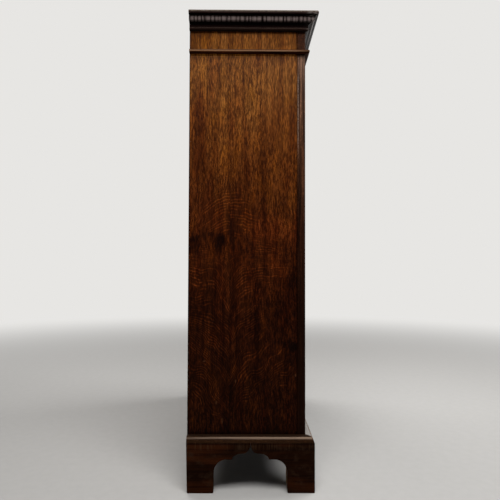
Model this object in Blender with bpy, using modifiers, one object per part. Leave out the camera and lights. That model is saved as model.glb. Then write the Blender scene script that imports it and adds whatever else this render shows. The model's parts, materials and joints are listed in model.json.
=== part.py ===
"""Oak display cabinet on bracket feet: a moulded cornice, a pair of glazed doors and three housed shelves.

Metres, +Z up. The doors face -Y, and the origin is on the floor under the middle of the cabinet's box.
"""

import math

import bmesh
import bpy
from mathutils import Matrix, Vector

# Driving dimensions: the whole cabinet
HEIGHT = 1.200
CARCASE_WIDTH = 0.900
CARCASE_DEPTH = 0.296
GAP = 0.0003  # clearance between pieces that touch
EASE = 0.0012  # worn edge on sawn boards

# Boards of the carcase
SIDE_THICK = 0.020
TOP_THICK = 0.018
BOTTOM_THICK = 0.018
BOTTOM_STOP = 0.0055  # how far the bottom board stands above the doors' lower edge
SHELF_THICK = 0.016
SHELF_COUNT = 3
SHELF_SET_BACK = 0.040  # from the face of the cabinet
HOUSING_DEPTH = 0.006
BACK_THICK = 0.0095
BACK_REBATE = 0.010
BACK_BOARD_COUNT = 3
TONGUE_LONG = 0.005
TONGUE_THICK = 0.0035

# Face frame
FACE_THICK = 0.020
STILE_WIDE = 0.045
BOTTOM_RAIL_TALL = 0.0285
HEAD_LIP_DEEP = 0.014
HEAD_LIP_DROP = 0.011  # how far the door stop hangs below the frieze
TENON_LONG = 0.018
TENON_THICK = 0.0075
TENON_SHOULDER = 0.005

# Mouldings: how far each stands proud of the carcase, and how tall it is. BASE_WORN is in degrees: what wear took
# from each end of the base ovolo's arc.
CORNICE_PROUD = 0.031
CORNICE_TALL = 0.043
FRIEZE_TALL = 0.048
ASTRAGAL_PROUD = 0.0105
ASTRAGAL_TALL = 0.010
BASE_PROUD = 0.0202
BASE_TALL = 0.015
BASE_LEDGE = 0.011
BASE_WORN = 20
PLINTH_TALL = 0.1365

# Cornice members, from the bottom up
BEAD_RADIUS = 0.0042
BEAD_SET = 0.0045
CORNICE_FILLET = 0.0014
COVE_RADIUS = 0.0095
COVE_SET = 0.0068
OVOLO_OUT = 0.005
OVOLO_TALL = 0.010
CAP_TALL = 0.0105
CAP_ROUND = 0.0045  # how far the cap's worn top edge rolls in
CAP_DROP = 0.0065  # how far that edge rolls down to the nose
CAP_UNDER = 0.0018

# Bracket feet
BRACKET_PROUD = 0.021
BRACKET_THICK = 0.0202
FOOT_WIDE = 0.0675
FOOT_STRAIGHT = 0.048
CURVE_RUN = 0.032
CURVE_RISE = 0.034
SPUR_RUN = 0.0135
CYMA_RUN = 0.028
CYMA_RISE = 0.0145
BRACKET_TIP = 0.0018
REAR_FOOT_TAPER = 0.0025
FOOT_WORN = 0.0022
BLOCK_WIDE = 0.045

# Doors
DOOR_THICK = 0.020
HINGE_CLEARANCE = 0.0018
MEETING_CLEARANCE = 0.0020
DOOR_FOOT_CLEARANCE = 0.0025
DOOR_HEAD_CLEARANCE = 0.0022
DOOR_STILE_WIDE = 0.045
DOOR_TOP_RAIL_TALL = 0.045
DOOR_BOTTOM_RAIL_TALL = 0.060
PANE_COLUMNS = 2
PANE_ROWS = 4
GLASS_THICK = 0.003
GLASS_BITE = 0.007
BAR_WIDE = 0.016
BEAD_WIDE = 0.009
BAR_THICK = 0.0072
BAR_ROUND = 0.0026

# Butt hinges
HINGE_TALL = 0.060
HINGE_INSET = 0.115  # from the door's end to the middle of the hinge
KNUCKLE_COUNT = 5
KNUCKLE_RADIUS = 0.0026
KNUCKLE_FORWARD = 0.0003  # knuckle clear of the door's face
PIN_RADIUS = 0.0012
PIN_CLEARANCE = 0.0003
PIN_TIP = 0.0018
LEAF_THICK = 0.0012
LEAF_DEEP = 0.0165
LEAF_SPLIT = 0.0002  # half of the slit between the closed leaves

# Lock and key
LOCK_HEIGHT = 0.640
LOCK_WIDE = 0.041
LOCK_TALL = 0.035
LOCK_DEEP = 0.013
LOCK_WALL = 0.0015
LOCK_DROP = 0.0160  # from the key's axis to the foot of the lock
KEY_RADIUS = 0.0025
KEY_CLEARANCE = 0.0005
KEY_BIT_REACH = 0.0085
KEY_BIT_LONG = 0.005
KEY_BIT_THICK = 0.0020
KEY_BOW_RADIUS = 0.0085
KEY_BOW_THICK = 0.0018
KEY_STANDS_OUT = 0.0275
LOCK_BOLT_TALL = 0.010
LOCK_BOLT_THICK = 0.005
LOCK_BOLT_RISE = 0.006
LOCK_BOLT_BEHIND = 0.0012
LOCK_NOTCH_FROM = 0.007
LOCK_NOTCH_TO = 0.016
LOCK_NOTCH_DEEP = 0.0045

# Slide bolts on the left door
BOLT_WIDE = 0.008
BOLT_THICK = 0.005
BOLT_LONG = 0.076
BOLT_THROW = 0.012
BOLT_START = 0.003  # from the drawn bolt's end to its socket
BOLT_SLACK = 0.0004
BOLT_PLATE_WIDE = 0.022
BOLT_PLATE_LONG = 0.068
BOLT_PLATE_THICK = 0.003
BOLT_PLATE_BACK = 0.004  # plate's end to the drawn bolt's end
BOLT_BRIDGE_WALL = 0.0022
BOLT_BRIDGE_LONG = 0.012
BOLT_KNOB_RADIUS = 0.003
BOLT_KNOB_TALL = 0.006

# Places worked out from those sizes
HALF_WIDTH = CARCASE_WIDTH / 2
BACK_Y = (CARCASE_DEPTH + CORNICE_PROUD) / 2
FACE_Y = BACK_Y - CARCASE_DEPTH
FRAME_BACK_Y = FACE_Y + FACE_THICK
INNER_X = HALF_WIDTH - SIDE_THICK
OPENING_X = HALF_WIDTH - STILE_WIDE
CARCASE_Z = PLINTH_TALL - BASE_TALL
CORNICE_Z = HEIGHT - CORNICE_TALL
ASTRAGAL_Z = CORNICE_Z - FRIEZE_TALL - ASTRAGAL_TALL
TOP_Z = HEIGHT - TOP_THICK
BOTTOM_RAIL_Z = CARCASE_Z + BOTTOM_RAIL_TALL
DOOR_Z = BOTTOM_RAIL_Z + DOOR_FOOT_CLEARANCE
DOOR_TOP_Z = ASTRAGAL_Z - DOOR_HEAD_CLEARANCE
BOTTOM_Z = DOOR_Z + BOTTOM_STOP
HEAD_LIP_Z = ASTRAGAL_Z - HEAD_LIP_DROP
PIN_FORWARD = KNUCKLE_RADIUS + KNUCKLE_FORWARD
DOOR_BACK = PIN_FORWARD + DOOR_THICK
DOOR_WIDE = OPENING_X - HINGE_CLEARANCE / 2 - MEETING_CLEARANCE / 2
KNUCKLE_TALL = HINGE_TALL / KNUCKLE_COUNT
BRACKET_TOP_Z = CARCASE_Z - GAP
BRACKET_LONG = (CARCASE_DEPTH + BRACKET_PROUD - GAP) / 2
ROUND_STEPS = 16
ARC_STEPS = 6

UP = Vector((0, 0, 1))
RIGHT = Vector((1, 0, 0))
BACK = Vector((0, 1, 0))


# Scene, collections and finishes
for old in list(bpy.data.objects):
    bpy.data.objects.remove(old, do_unlink=True)

parts = bpy.data.collections.new("display_cabinet")
cutters = bpy.data.collections.new("cutters")
for group in (parts, cutters):
    bpy.context.scene.collection.children.link(group)


def finish(name, colour, roughness, metallic=0.0, alpha=1.0):
    material = bpy.data.materials.new(name)
    material.use_nodes = True
    shader = material.node_tree.nodes["Principled BSDF"]
    shader.inputs["Base Color"].default_value = (*colour, 1.0)
    shader.inputs["Roughness"].default_value = roughness
    shader.inputs["Metallic"].default_value = metallic
    shader.inputs["Alpha"].default_value = alpha
    return material


OAK = finish("oak", (0.150, 0.060, 0.020), 0.42)
DARK_OAK = finish("dark_oak", (0.040, 0.018, 0.010), 0.38)
PINE = finish("pine", (0.210, 0.120, 0.060), 0.75)
BRASS = finish("brass", (0.480, 0.330, 0.120), 0.35, metallic=1.0)
GLASS = finish("glass", (0.80, 0.85, 0.83), 0.05, alpha=0.2)


# Modelling helpers
def place(name, mesh, material, location, parent=None, turn=None):
    """A named object for a mesh, at a world location, moved with its parent if it has one."""
    piece = bpy.data.objects.new(name, mesh)
    parts.objects.link(piece)
    if not mesh.materials:
        mesh.materials.append(material)
    origin = parent.location if parent else Vector((0, 0, 0))
    piece.parent = parent
    piece.location = Vector(location) - origin
    if turn:
        piece.rotation_euler = turn.to_euler()
    return piece


def as_cutter(piece):
    piece.hide_render = True
    piece.display_type = "WIRE"
    parts.objects.unlink(piece)
    cutters.objects.link(piece)
    return piece


def cube_mesh(name, size):
    shape = bmesh.new()
    bmesh.ops.create_cube(shape, size=1.0)
    bmesh.ops.scale(shape, vec=size, verts=shape.verts)
    mesh = bpy.data.meshes.new(name)
    shape.to_mesh(mesh)
    shape.free()
    return mesh


def block(name, low, high, material, parent=None, ease=EASE):
    """A board between two corners, with its long edges eased."""
    low, high = Vector(low), Vector(high)
    piece = place(name, cube_mesh(name, high - low), material, (low + high) / 2, parent)
    if ease:
        edge = piece.modifiers.new("eased_edges", "BEVEL")
        edge.width = ease
        edge.segments = 1
        edge.limit_method = "ANGLE"
    return piece


def hole(name, low, high, parent=None):
    return as_cutter(block(name, low, high, OAK, parent, ease=0))


def combine(piece, tool, operation):
    step = piece.modifiers.new(operation.lower(), "BOOLEAN")
    step.operation = operation
    step.object = tool
    return piece


def cut(piece, *tools):
    for tool in tools:
        combine(piece, tool, "DIFFERENCE")
    return piece


def unite(piece, *tools):
    for tool in tools:
        combine(piece, tool, "UNION")
    return piece


def arc(centre, radii, start, end, steps=ARC_STEPS):
    """Points of an ellipse's arc between two angles in degrees."""
    found = []
    for i in range(steps + 1):
        angle = math.radians(start + (end - start) * i / steps)
        found.append((centre[0] + radii[0] * math.cos(angle), centre[1] + radii[1] * math.sin(angle)))
    return found


def welded(obj):
    """The evaluated object as a plain mesh, its caps joined to its sides."""
    bpy.context.view_layer.update()
    graph = bpy.context.evaluated_depsgraph_get()
    mesh = bpy.data.meshes.new_from_object(obj.evaluated_get(graph))
    shape = bmesh.new()
    shape.from_mesh(mesh)
    bmesh.ops.remove_doubles(shape, verts=shape.verts, dist=1e-6)
    bmesh.ops.recalc_face_normals(shape, faces=shape.faces)
    shape.to_mesh(mesh)
    shape.free()
    return mesh


def outline_mesh(name, outline, thick):
    """A closed flat outline, thick along local Z and centred on it."""
    curve = bpy.data.curves.new(name, "CURVE")
    curve.dimensions = "2D"
    curve.fill_mode = "BOTH"
    curve.extrude = thick / 2
    spline = curve.splines.new("POLY")
    spline.points.add(len(outline) - 1)
    for point, (x, y) in zip(spline.points, outline):
        point.co = (x, y, 0, 1)
    spline.use_cyclic_u = True
    drawn = bpy.data.objects.new(name, curve)
    parts.objects.link(drawn)
    mesh = welded(drawn)
    bpy.data.objects.remove(drawn, do_unlink=True)
    mesh.name = name
    return mesh


def saw(mesh, point, normal):
    """Cuts a mesh along a plane, and drops the side that the normal points to."""
    shape = bmesh.new()
    shape.from_mesh(mesh)
    everything = shape.verts[:] + shape.edges[:] + shape.faces[:]
    sawn = bmesh.ops.bisect_plane(
        shape, geom=everything, plane_co=point, plane_no=normal, clear_outer=True
    )
    rim = [e for e in sawn["geom_cut"] if isinstance(e, bmesh.types.BMEdge)]
    bmesh.ops.holes_fill(shape, edges=rim)
    bmesh.ops.recalc_face_normals(shape, faces=shape.faces)
    shape.to_mesh(mesh)
    shape.free()
    return mesh


def turned_mesh(name, profile, closed=False):
    """A profile of (radius, height) points, from the top down its outer side, turned about Z."""
    shape = bmesh.new()
    points = [shape.verts.new((radius, 0, height)) for radius, height in profile]
    for i in range(len(points) - 1 + closed):
        shape.edges.new((points[i], points[(i + 1) % len(points)]))
    mesh = bpy.data.meshes.new(name)
    shape.to_mesh(mesh)
    shape.free()
    profile_object = bpy.data.objects.new(name, mesh)
    parts.objects.link(profile_object)
    screw = profile_object.modifiers.new("turned", "SCREW")
    screw.steps = screw.render_steps = ROUND_STEPS
    screw.use_merge_vertices = True
    screw.merge_threshold = 0.00001
    turned = welded(profile_object)
    bpy.data.objects.remove(profile_object, do_unlink=True)
    turned.name = name
    return turned


def axes(x, y, z):
    return Matrix((x, y, z)).transposed()


# Carcase: sides, top, bottom, shelves and back
SHELF_PITCH = (TOP_Z - BOTTOM_Z + SHELF_THICK) / (SHELF_COUNT + 1)
SHELF_ZS = [BOTTOM_Z - SHELF_THICK + SHELF_PITCH * (i + 1) for i in range(SHELF_COUNT)]
SHELF_BACK_Y = BACK_Y - BACK_REBATE - GAP


def carcase_side(name, hand):
    """One side board, housed for the bottom and the shelves and rebated for the back."""
    outer, inner = hand * HALF_WIDTH, hand * INNER_X
    board = block(
        name,
        (min(outer, inner), FRAME_BACK_Y + GAP, CARCASE_Z),
        (max(outer, inner), BACK_Y, TOP_Z - GAP),
        OAK,
    )
    deep = inner + hand * HOUSING_DEPTH
    past = inner - hand * SIDE_THICK
    low_x, high_x = min(deep, past), max(deep, past)
    front = FRAME_BACK_Y - FACE_THICK
    grooves = [("bottom", BOTTOM_Z - BOTTOM_THICK, BOTTOM_THICK, front)]
    for i, z in enumerate(SHELF_ZS):
        grooves.append((f"shelf_{i + 1}", z, SHELF_THICK, FACE_Y + SHELF_SET_BACK - GAP))
    for label, z, thick, start in grooves:
        cut(
            board,
            hole(
                f"{name}_{label}_housing",
                (low_x, start, z - GAP),
                (high_x, SHELF_BACK_Y + GAP, z + thick + GAP),
            ),
        )
    rebate = inner + hand * BACK_REBATE
    cut(
        board,
        hole(
            f"{name}_back_rebate",
            (min(rebate, past), BACK_Y - BACK_REBATE, CARCASE_Z - SIDE_THICK),
            (max(rebate, past), BACK_Y + SIDE_THICK, TOP_Z + SIDE_THICK),
        ),
    )
    return board


carcase_side("side_left", -1)
carcase_side("side_right", 1)

block("top_board", (-HALF_WIDTH, FACE_Y, TOP_Z), (HALF_WIDTH, BACK_Y, HEIGHT), OAK)

HOUSED_X = INNER_X + HOUSING_DEPTH - GAP
bottom_board = block(
    "bottom_board",
    (-HOUSED_X, FRAME_BACK_Y + GAP, BOTTOM_Z - BOTTOM_THICK),
    (HOUSED_X, SHELF_BACK_Y, BOTTOM_Z),
    OAK,
)

for i, z in enumerate(SHELF_ZS):
    block(
        f"shelf_{i + 1}",
        (-HOUSED_X, FACE_Y + SHELF_SET_BACK, z),
        (HOUSED_X, SHELF_BACK_Y, z + SHELF_THICK),
        OAK,
    )


def back_board(number, wide):
    """One upright back board, with a tongue on its right edge and a groove in its left."""
    left = -INNER_X - BACK_REBATE + GAP + number * wide
    first, last = number == 0, number == BACK_BOARD_COUNT - 1
    middle_y = BACK_Y - BACK_REBATE / 2
    low_z, high_z = CARCASE_Z, TOP_Z - GAP
    name = f"back_board_{number + 1}"
    board = block(
        name,
        (left, middle_y - BACK_THICK / 2, low_z),
        (left + wide - GAP, middle_y + BACK_THICK / 2, high_z),
        PINE,
    )
    tongue_start = left + wide - TONGUE_LONG
    if not last:
        tongue = block(
            f"{name}_tongue",
            (tongue_start, middle_y - TONGUE_THICK / 2, low_z + TONGUE_LONG),
            (left + wide + TONGUE_LONG, middle_y + TONGUE_THICK / 2, high_z - TONGUE_LONG),
            PINE,
            ease=0,
        )
        unite(board, as_cutter(tongue))
    if not first:
        cut(
            board,
            hole(
                f"{name}_groove",
                (left - TONGUE_LONG, middle_y - TONGUE_THICK / 2 - GAP, low_z - TONGUE_LONG),
                (left + TONGUE_LONG + GAP, middle_y + TONGUE_THICK / 2 + GAP, high_z + TONGUE_LONG),
            ),
        )


BACK_BOARD_WIDE = (2 * (INNER_X + BACK_REBATE) - GAP) / BACK_BOARD_COUNT
for i in range(BACK_BOARD_COUNT):
    back_board(i, BACK_BOARD_WIDE)


# Face frame: two stiles, the bottom rail tenoned between them, the frieze over the top
def hinge_heights():
    return {"lower": DOOR_Z + HINGE_INSET, "upper": DOOR_TOP_Z - HINGE_INSET}


def leaf_pocket(name, from_x, to_x, middle_z, parent=None):
    """The shallow recess that lets a hinge leaf into an edge."""
    return hole(
        name,
        (min(from_x, to_x), FACE_Y - FACE_THICK, middle_z - HINGE_TALL / 2 - GAP),
        (max(from_x, to_x), FACE_Y + LEAF_DEEP + GAP, middle_z + HINGE_TALL / 2 + GAP),
        parent,
    )


LEAF_BITE = LEAF_SPLIT + LEAF_THICK - HINGE_CLEARANCE / 2 + GAP
FRAME_MIDDLE_Y = FACE_Y + FACE_THICK / 2
TENON_TALL = BOTTOM_RAIL_TALL - 2 * TENON_SHOULDER


def face_stile(name, hand):
    outer, inner = hand * HALF_WIDTH, hand * OPENING_X
    stile = block(
        name,
        (min(outer, inner), FACE_Y, CARCASE_Z),
        (max(outer, inner), FRAME_BACK_Y, ASTRAGAL_Z - GAP),
        OAK,
    )
    mortise_end = inner + hand * (TENON_LONG + GAP)
    past = inner - hand * STILE_WIDE
    low_x, high_x = min(mortise_end, past), max(mortise_end, past)
    cut(
        stile,
        hole(
            f"{name}_mortise",
            (low_x, FRAME_MIDDLE_Y - TENON_THICK / 2 - GAP, CARCASE_Z + TENON_SHOULDER - GAP),
            (high_x, FRAME_MIDDLE_Y + TENON_THICK / 2 + GAP, CARCASE_Z + TENON_SHOULDER + TENON_TALL + GAP),
        ),
    )
    for label, z in hinge_heights().items():
        cut(stile, leaf_pocket(f"{name}_{label}_pocket", inner + hand * LEAF_BITE, past, z))
    return stile


face_stile("face_stile_left", -1)
face_stile("face_stile_right", 1)

bottom_rail = block(
    "bottom_rail",
    (-OPENING_X + GAP, FACE_Y, CARCASE_Z),
    (OPENING_X - GAP, FRAME_BACK_Y, BOTTOM_RAIL_Z),
    OAK,
)
rail_tenons = block(
    "bottom_rail_tenons",
    (-OPENING_X - TENON_LONG, FRAME_MIDDLE_Y - TENON_THICK / 2, CARCASE_Z + TENON_SHOULDER),
    (OPENING_X + TENON_LONG, FRAME_MIDDLE_Y + TENON_THICK / 2, CARCASE_Z + TENON_SHOULDER + TENON_TALL),
    OAK,
    ease=0,
)
unite(bottom_rail, as_cutter(rail_tenons))

frieze_rail = block(
    "frieze_rail",
    (-HALF_WIDTH, FACE_Y, ASTRAGAL_Z),
    (HALF_WIDTH, FRAME_BACK_Y, TOP_Z - GAP),
    OAK,
)
head_lip = block(
    "head_lip",
    (-INNER_X + GAP, FRAME_BACK_Y + GAP, HEAD_LIP_Z),
    (INNER_X - GAP, FRAME_BACK_Y + HEAD_LIP_DEEP, CORNICE_Z),
    OAK,
    ease=0,
)
head_joint = block(
    "head_joint",
    (-INNER_X + 2 * GAP, FRAME_BACK_Y - FACE_THICK / 2, ASTRAGAL_Z + 2 * EASE),
    (INNER_X - 2 * GAP, FRAME_BACK_Y + HEAD_LIP_DEEP / 2, CORNICE_Z - GAP),
    OAK,
    ease=0,
)
unite(frieze_rail, as_cutter(head_joint), as_cutter(head_lip))


# Mouldings that run round the front and both sides, mitred at the front corners
def cornice_profile():
    """Bead, cavetto, ovolo and rolled cap, as (projection, height) points."""
    bead_top = 2 * BEAD_RADIUS
    cove_foot = bead_top + CORNICE_FILLET
    cove_top = cove_foot + COVE_RADIUS
    ovolo_in = COVE_SET + COVE_RADIUS + CORNICE_FILLET
    ovolo_top = cove_top + OVOLO_TALL
    ovolo_out = ovolo_in + OVOLO_OUT
    cap_foot = CORNICE_TALL - CAP_TALL
    points = [(GAP, 0)]
    points += arc((BEAD_SET, BEAD_RADIUS), (BEAD_RADIUS, BEAD_RADIUS), -90, 90)
    points += [(COVE_SET, bead_top)]
    points += arc((COVE_SET + COVE_RADIUS, cove_foot), (COVE_RADIUS, COVE_RADIUS), 180, 90)
    points += arc((ovolo_in, ovolo_top), (OVOLO_OUT, OVOLO_TALL), -90, 0)
    points += [(ovolo_out, ovolo_top + CORNICE_FILLET)]
    under_centre = (CORNICE_PROUD - CAP_UNDER, cap_foot + CAP_UNDER)
    points += arc(under_centre, (CAP_UNDER, CAP_UNDER), -90, 0, steps=3)
    points += arc((CORNICE_PROUD - CAP_ROUND, CORNICE_TALL - CAP_DROP), (CAP_ROUND, CAP_DROP), 0, 90)
    points += [(GAP, CORNICE_TALL)]
    return points


def astragal_profile():
    nose = ASTRAGAL_TALL / 2
    round_nose = arc((ASTRAGAL_PROUD - nose, nose), (nose, nose), -90, 90, steps=10)
    return [(GAP, 0), *round_nose, (GAP, ASTRAGAL_TALL)]


def base_profile():
    """A flat ledge with an arris, over a worn ovolo that has lost the steep and level ends of its arc."""
    fillet = 0.1 * BASE_TALL
    start, end = math.radians(BASE_WORN), math.radians(90 - BASE_WORN)
    share = math.cos(start) - math.cos(end)
    wide = (BASE_PROUD - BASE_LEDGE) / share
    tall = (BASE_TALL - fillet) / share
    centre = (BASE_PROUD - wide * math.cos(start), fillet - tall * math.sin(start))
    ovolo = arc(centre, (wide, tall), BASE_WORN, 90 - BASE_WORN, steps=8)
    return [(GAP, 0), (BASE_PROUD, 0), *ovolo, (GAP, BASE_TALL)]


def moulding_round(name, profile, z, material):
    """The front run and both returns of one moulding."""
    reach = max(projection for projection, _ in profile)
    front = outline_mesh(f"{name}_front", profile, CARCASE_WIDTH + 2 * reach + GAP)
    for end in (-1, 1):
        saw(front, (0, 0, end * (HALF_WIDTH - GAP / 2)), (-1, 0, end))
    place(f"{name}_front", front, material, (0, FACE_Y, z), turn=axes(-BACK, UP, -RIGHT))
    run = CARCASE_DEPTH + reach + GAP
    middle_y = BACK_Y - run / 2
    for label, hand in (("left", -1), ("right", 1)):
        side = outline_mesh(f"{name}_{label}", profile, run)
        mitre = -hand * (FACE_Y + GAP / 2 - middle_y)
        saw(side, (0, 0, mitre), (-1, 0, hand))
        outward = RIGHT * hand
        turn = axes(outward, UP, outward.cross(UP))
        place(f"{name}_{label}", side, material, (hand * HALF_WIDTH, middle_y, z), turn=turn)


moulding_round("cornice", cornice_profile(), CORNICE_Z, DARK_OAK)
moulding_round("astragal", astragal_profile(), ASTRAGAL_Z, OAK)
moulding_round("base_moulding", base_profile(), CARCASE_Z, OAK)


# Bracket feet: shaped boards under the base moulding, mitred at the front corners
def bracket_outline(taper):
    """Foot, quarter curve, spur, cyma and the sweep up to the tip, as (run, height) points."""
    curve_z = FOOT_STRAIGHT + CURVE_RISE
    spur_x = FOOT_WIDE + CURVE_RUN + SPUR_RUN
    cyma_x = spur_x + CYMA_RUN
    cyma_z = curve_z + CYMA_RISE
    tip_z = BRACKET_TOP_Z - BRACKET_TIP
    points = [(taper + FOOT_WORN, 0), (FOOT_WIDE - FOOT_WORN, 0), (FOOT_WIDE, FOOT_WORN)]
    points += arc((FOOT_WIDE + CURVE_RUN, FOOT_STRAIGHT), (CURVE_RUN, CURVE_RISE), 180, 90, steps=8)
    points += arc((cyma_x, curve_z), (CYMA_RUN, CYMA_RISE), 180, 90)
    sweep = arc((cyma_x, tip_z), (BRACKET_LONG - cyma_x, tip_z - cyma_z), -90, 0)
    points += sweep[1:]
    points += [(BRACKET_LONG, BRACKET_TOP_Z), (0, BRACKET_TOP_Z), (taper, FOOT_WORN)]
    return points


def bracket(name, corner, along, outward, mitred):
    """One bracket that runs along from its outer corner, with its face to the outside."""
    taper = 0 if mitred else REAR_FOOT_TAPER
    mesh = outline_mesh(name, bracket_outline(taper), BRACKET_THICK)
    facing = along.cross(UP).dot(outward)
    if mitred:
        saw(mesh, (GAP / 2, 0, facing * BRACKET_THICK / 2), (-1, 0, -facing))
    middle = corner - outward * BRACKET_THICK / 2
    return place(name, mesh, DARK_OAK, middle, turn=axes(along, UP, along.cross(UP)))


for label, hand in (("left", -1), ("right", 1)):
    outward = RIGHT * hand
    face_x = hand * (HALF_WIDTH + BRACKET_PROUD)
    front_corner = Vector((face_x, FACE_Y - BRACKET_PROUD, 0))
    rear_corner = Vector((face_x, BACK_Y, 0))
    bracket(f"front_bracket_{label}", front_corner, -outward, -BACK, True)
    bracket(f"side_bracket_{label}_front", front_corner, BACK, outward, True)
    bracket(f"side_bracket_{label}_rear", rear_corner, -BACK, outward, False)
    block_x = hand * HALF_WIDTH
    block_in_x = hand * (HALF_WIDTH - BLOCK_WIDE)
    for place_name, near_y, far_y in (
        ("front", FACE_Y, FACE_Y + BLOCK_WIDE),
        ("rear", BACK_Y - BLOCK_WIDE, BACK_Y - GAP),
    ):
        block(
            f"foot_block_{label}_{place_name}",
            (min(block_x, block_in_x), near_y, 0),
            (max(block_x, block_in_x), far_y, BRACKET_TOP_Z),
            PINE,
        )


# Doors. Each is built out from its hinge axis: u runs to the meeting edge, v into the cabinet
class Door:
    def __init__(self, name, hand):
        self.name = name
        self.hand = hand
        self.pivot = bpy.data.objects.new(f"{name}_pivot", None)
        parts.objects.link(self.pivot)
        self.pivot.location = (hand * (OPENING_X - HINGE_CLEARANCE / 2), FACE_Y - PIN_FORWARD, DOOR_Z)

    def point(self, u, v, z):
        return Vector((self.pivot.location.x - self.hand * u, self.pivot.location.y + v, z))

    def corners(self, us, vs, zs):
        a, b = (self.point(u, v, z) for u, v, z in zip(us, vs, zs))
        return Vector(map(min, a, b)), Vector(map(max, a, b))

    def block(self, label, us, vs, zs, material=OAK, ease=EASE):
        return block(f"{self.name}_{label}", *self.corners(us, vs, zs), material, self.pivot, ease)

    def hole(self, label, us, vs, zs):
        return hole(f"{self.name}_{label}", *self.corners(us, vs, zs), self.pivot)


DOOR_VS = (PIN_FORWARD, DOOR_BACK)
DOOR_MIDDLE = PIN_FORWARD + DOOR_THICK / 2
TENON_VS = (DOOR_MIDDLE - TENON_THICK / 2, DOOR_MIDDLE + TENON_THICK / 2)
MORTISE_VS = (TENON_VS[0] - GAP, TENON_VS[1] + GAP)
GROOVE_VS = (DOOR_MIDDLE - GLASS_THICK / 2 - GAP, DOOR_MIDDLE + GLASS_THICK / 2 + GAP)
HINGE_STILE_US = (HINGE_CLEARANCE / 2, HINGE_CLEARANCE / 2 + DOOR_STILE_WIDE)
MEETING_STILE_US = (DOOR_WIDE - DOOR_STILE_WIDE, DOOR_WIDE)
LIGHT_US = (HINGE_STILE_US[1], MEETING_STILE_US[0])
LIGHT_ZS = (DOOR_Z + DOOR_BOTTOM_RAIL_TALL, DOOR_TOP_Z - DOOR_TOP_RAIL_TALL)
GROOVE_US = (LIGHT_US[0] - GLASS_BITE - GAP, LIGHT_US[1] + GLASS_BITE + GAP)
GROOVE_ZS = (LIGHT_ZS[0] - GLASS_BITE - GAP, LIGHT_ZS[1] + GLASS_BITE + GAP)
RAIL_ZS = {"bottom_rail": (DOOR_Z, LIGHT_ZS[0]), "top_rail": (LIGHT_ZS[1], DOOR_TOP_Z)}


def tenon_heights(label):
    low, high = RAIL_ZS[label]
    return low + 2 * TENON_SHOULDER, high - 2 * TENON_SHOULDER


def door_frame(door):
    """Two grooved stiles, two tenoned rails and the sheet of glass that the grooves hold."""
    mortise_us = (LIGHT_US[0] - TENON_LONG - GAP, LIGHT_US[1] + TENON_LONG + GAP)
    groove = door.hole("glass_groove", GROOVE_US, GROOVE_VS, GROOVE_ZS)
    mortises = []
    for label in RAIL_ZS:
        low, high = tenon_heights(label)
        mortises.append(door.hole(f"{label}_mortise", mortise_us, MORTISE_VS, (low - GAP, high + GAP)))
    stile_blocks = {}
    for label, us in (("hinge_stile", HINGE_STILE_US), ("meeting_stile", MEETING_STILE_US)):
        stile_blocks[label] = door.block(label, us, DOOR_VS, (DOOR_Z, DOOR_TOP_Z))
        cut(stile_blocks[label], groove, *mortises)
    rail_us = (LIGHT_US[0] + GAP, LIGHT_US[1] - GAP)
    tenon_us = (LIGHT_US[0] - TENON_LONG, LIGHT_US[1] + TENON_LONG)
    for label, zs in RAIL_ZS.items():
        rail = door.block(label, rail_us, DOOR_VS, zs)
        tenons = door.block(f"{label}_tenons", tenon_us, TENON_VS, tenon_heights(label), ease=0)
        unite(rail, as_cutter(tenons))
        cut(rail, groove)
    door.block(
        "glass",
        (GROOVE_US[0] + GAP, GROOVE_US[1] - GAP),
        (GROOVE_VS[0] + GAP, GROOVE_VS[1] - GAP),
        (GROOVE_ZS[0] + GAP, GROOVE_ZS[1] - GAP),
        GLASS,
        ease=0,
    )
    return stile_blocks


def glazing_bars(door):
    """The rounded lattice in front of the glass: a bead round the light, and bars between the panes."""
    wide = LIGHT_US[1] - LIGHT_US[0] - 2 * GAP
    tall = LIGHT_ZS[1] - LIGHT_ZS[0] - 2 * GAP
    pane_wide = (wide - 2 * BEAD_WIDE - (PANE_COLUMNS - 1) * BAR_WIDE) / PANE_COLUMNS
    pane_tall = (tall - 2 * BEAD_WIDE - (PANE_ROWS - 1) * BAR_WIDE) / PANE_ROWS
    openings = [(-wide / 2, -tall / 2, wide, tall)]
    for column in range(PANE_COLUMNS):
        for row in range(PANE_ROWS):
            x = -wide / 2 + BEAD_WIDE + column * (pane_wide + BAR_WIDE)
            y = -tall / 2 + BEAD_WIDE + row * (pane_tall + BAR_WIDE)
            openings.append((x, y, pane_wide, pane_tall))
    name = f"{door.name}_glazing_bars"
    curve = bpy.data.curves.new(name, "CURVE")
    curve.dimensions = "2D"
    curve.fill_mode = "BOTH"
    curve.extrude = BAR_THICK / 2 - BAR_ROUND
    curve.bevel_depth = BAR_ROUND
    curve.bevel_resolution = 1
    curve.offset = -BAR_ROUND
    for x, y, across, up in openings:
        spline = curve.splines.new("POLY")
        spline.points.add(3)
        rectangle = ((x, y), (x + across, y), (x + across, y + up), (x, y + up))
        for point, (px, py) in zip(spline.points, rectangle):
            point.co = (px, py, 0, 1)
        spline.use_cyclic_u = True
    drawn = bpy.data.objects.new(name, curve)
    parts.objects.link(drawn)
    mesh = welded(drawn)
    bpy.data.objects.remove(drawn, do_unlink=True)
    middle = door.point(
        sum(LIGHT_US) / 2, GROOVE_VS[0] - BAR_THICK / 2, sum(LIGHT_ZS) / 2
    )
    place(name, mesh, OAK, middle, door.pivot, turn=axes(RIGHT, UP, -BACK))


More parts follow.
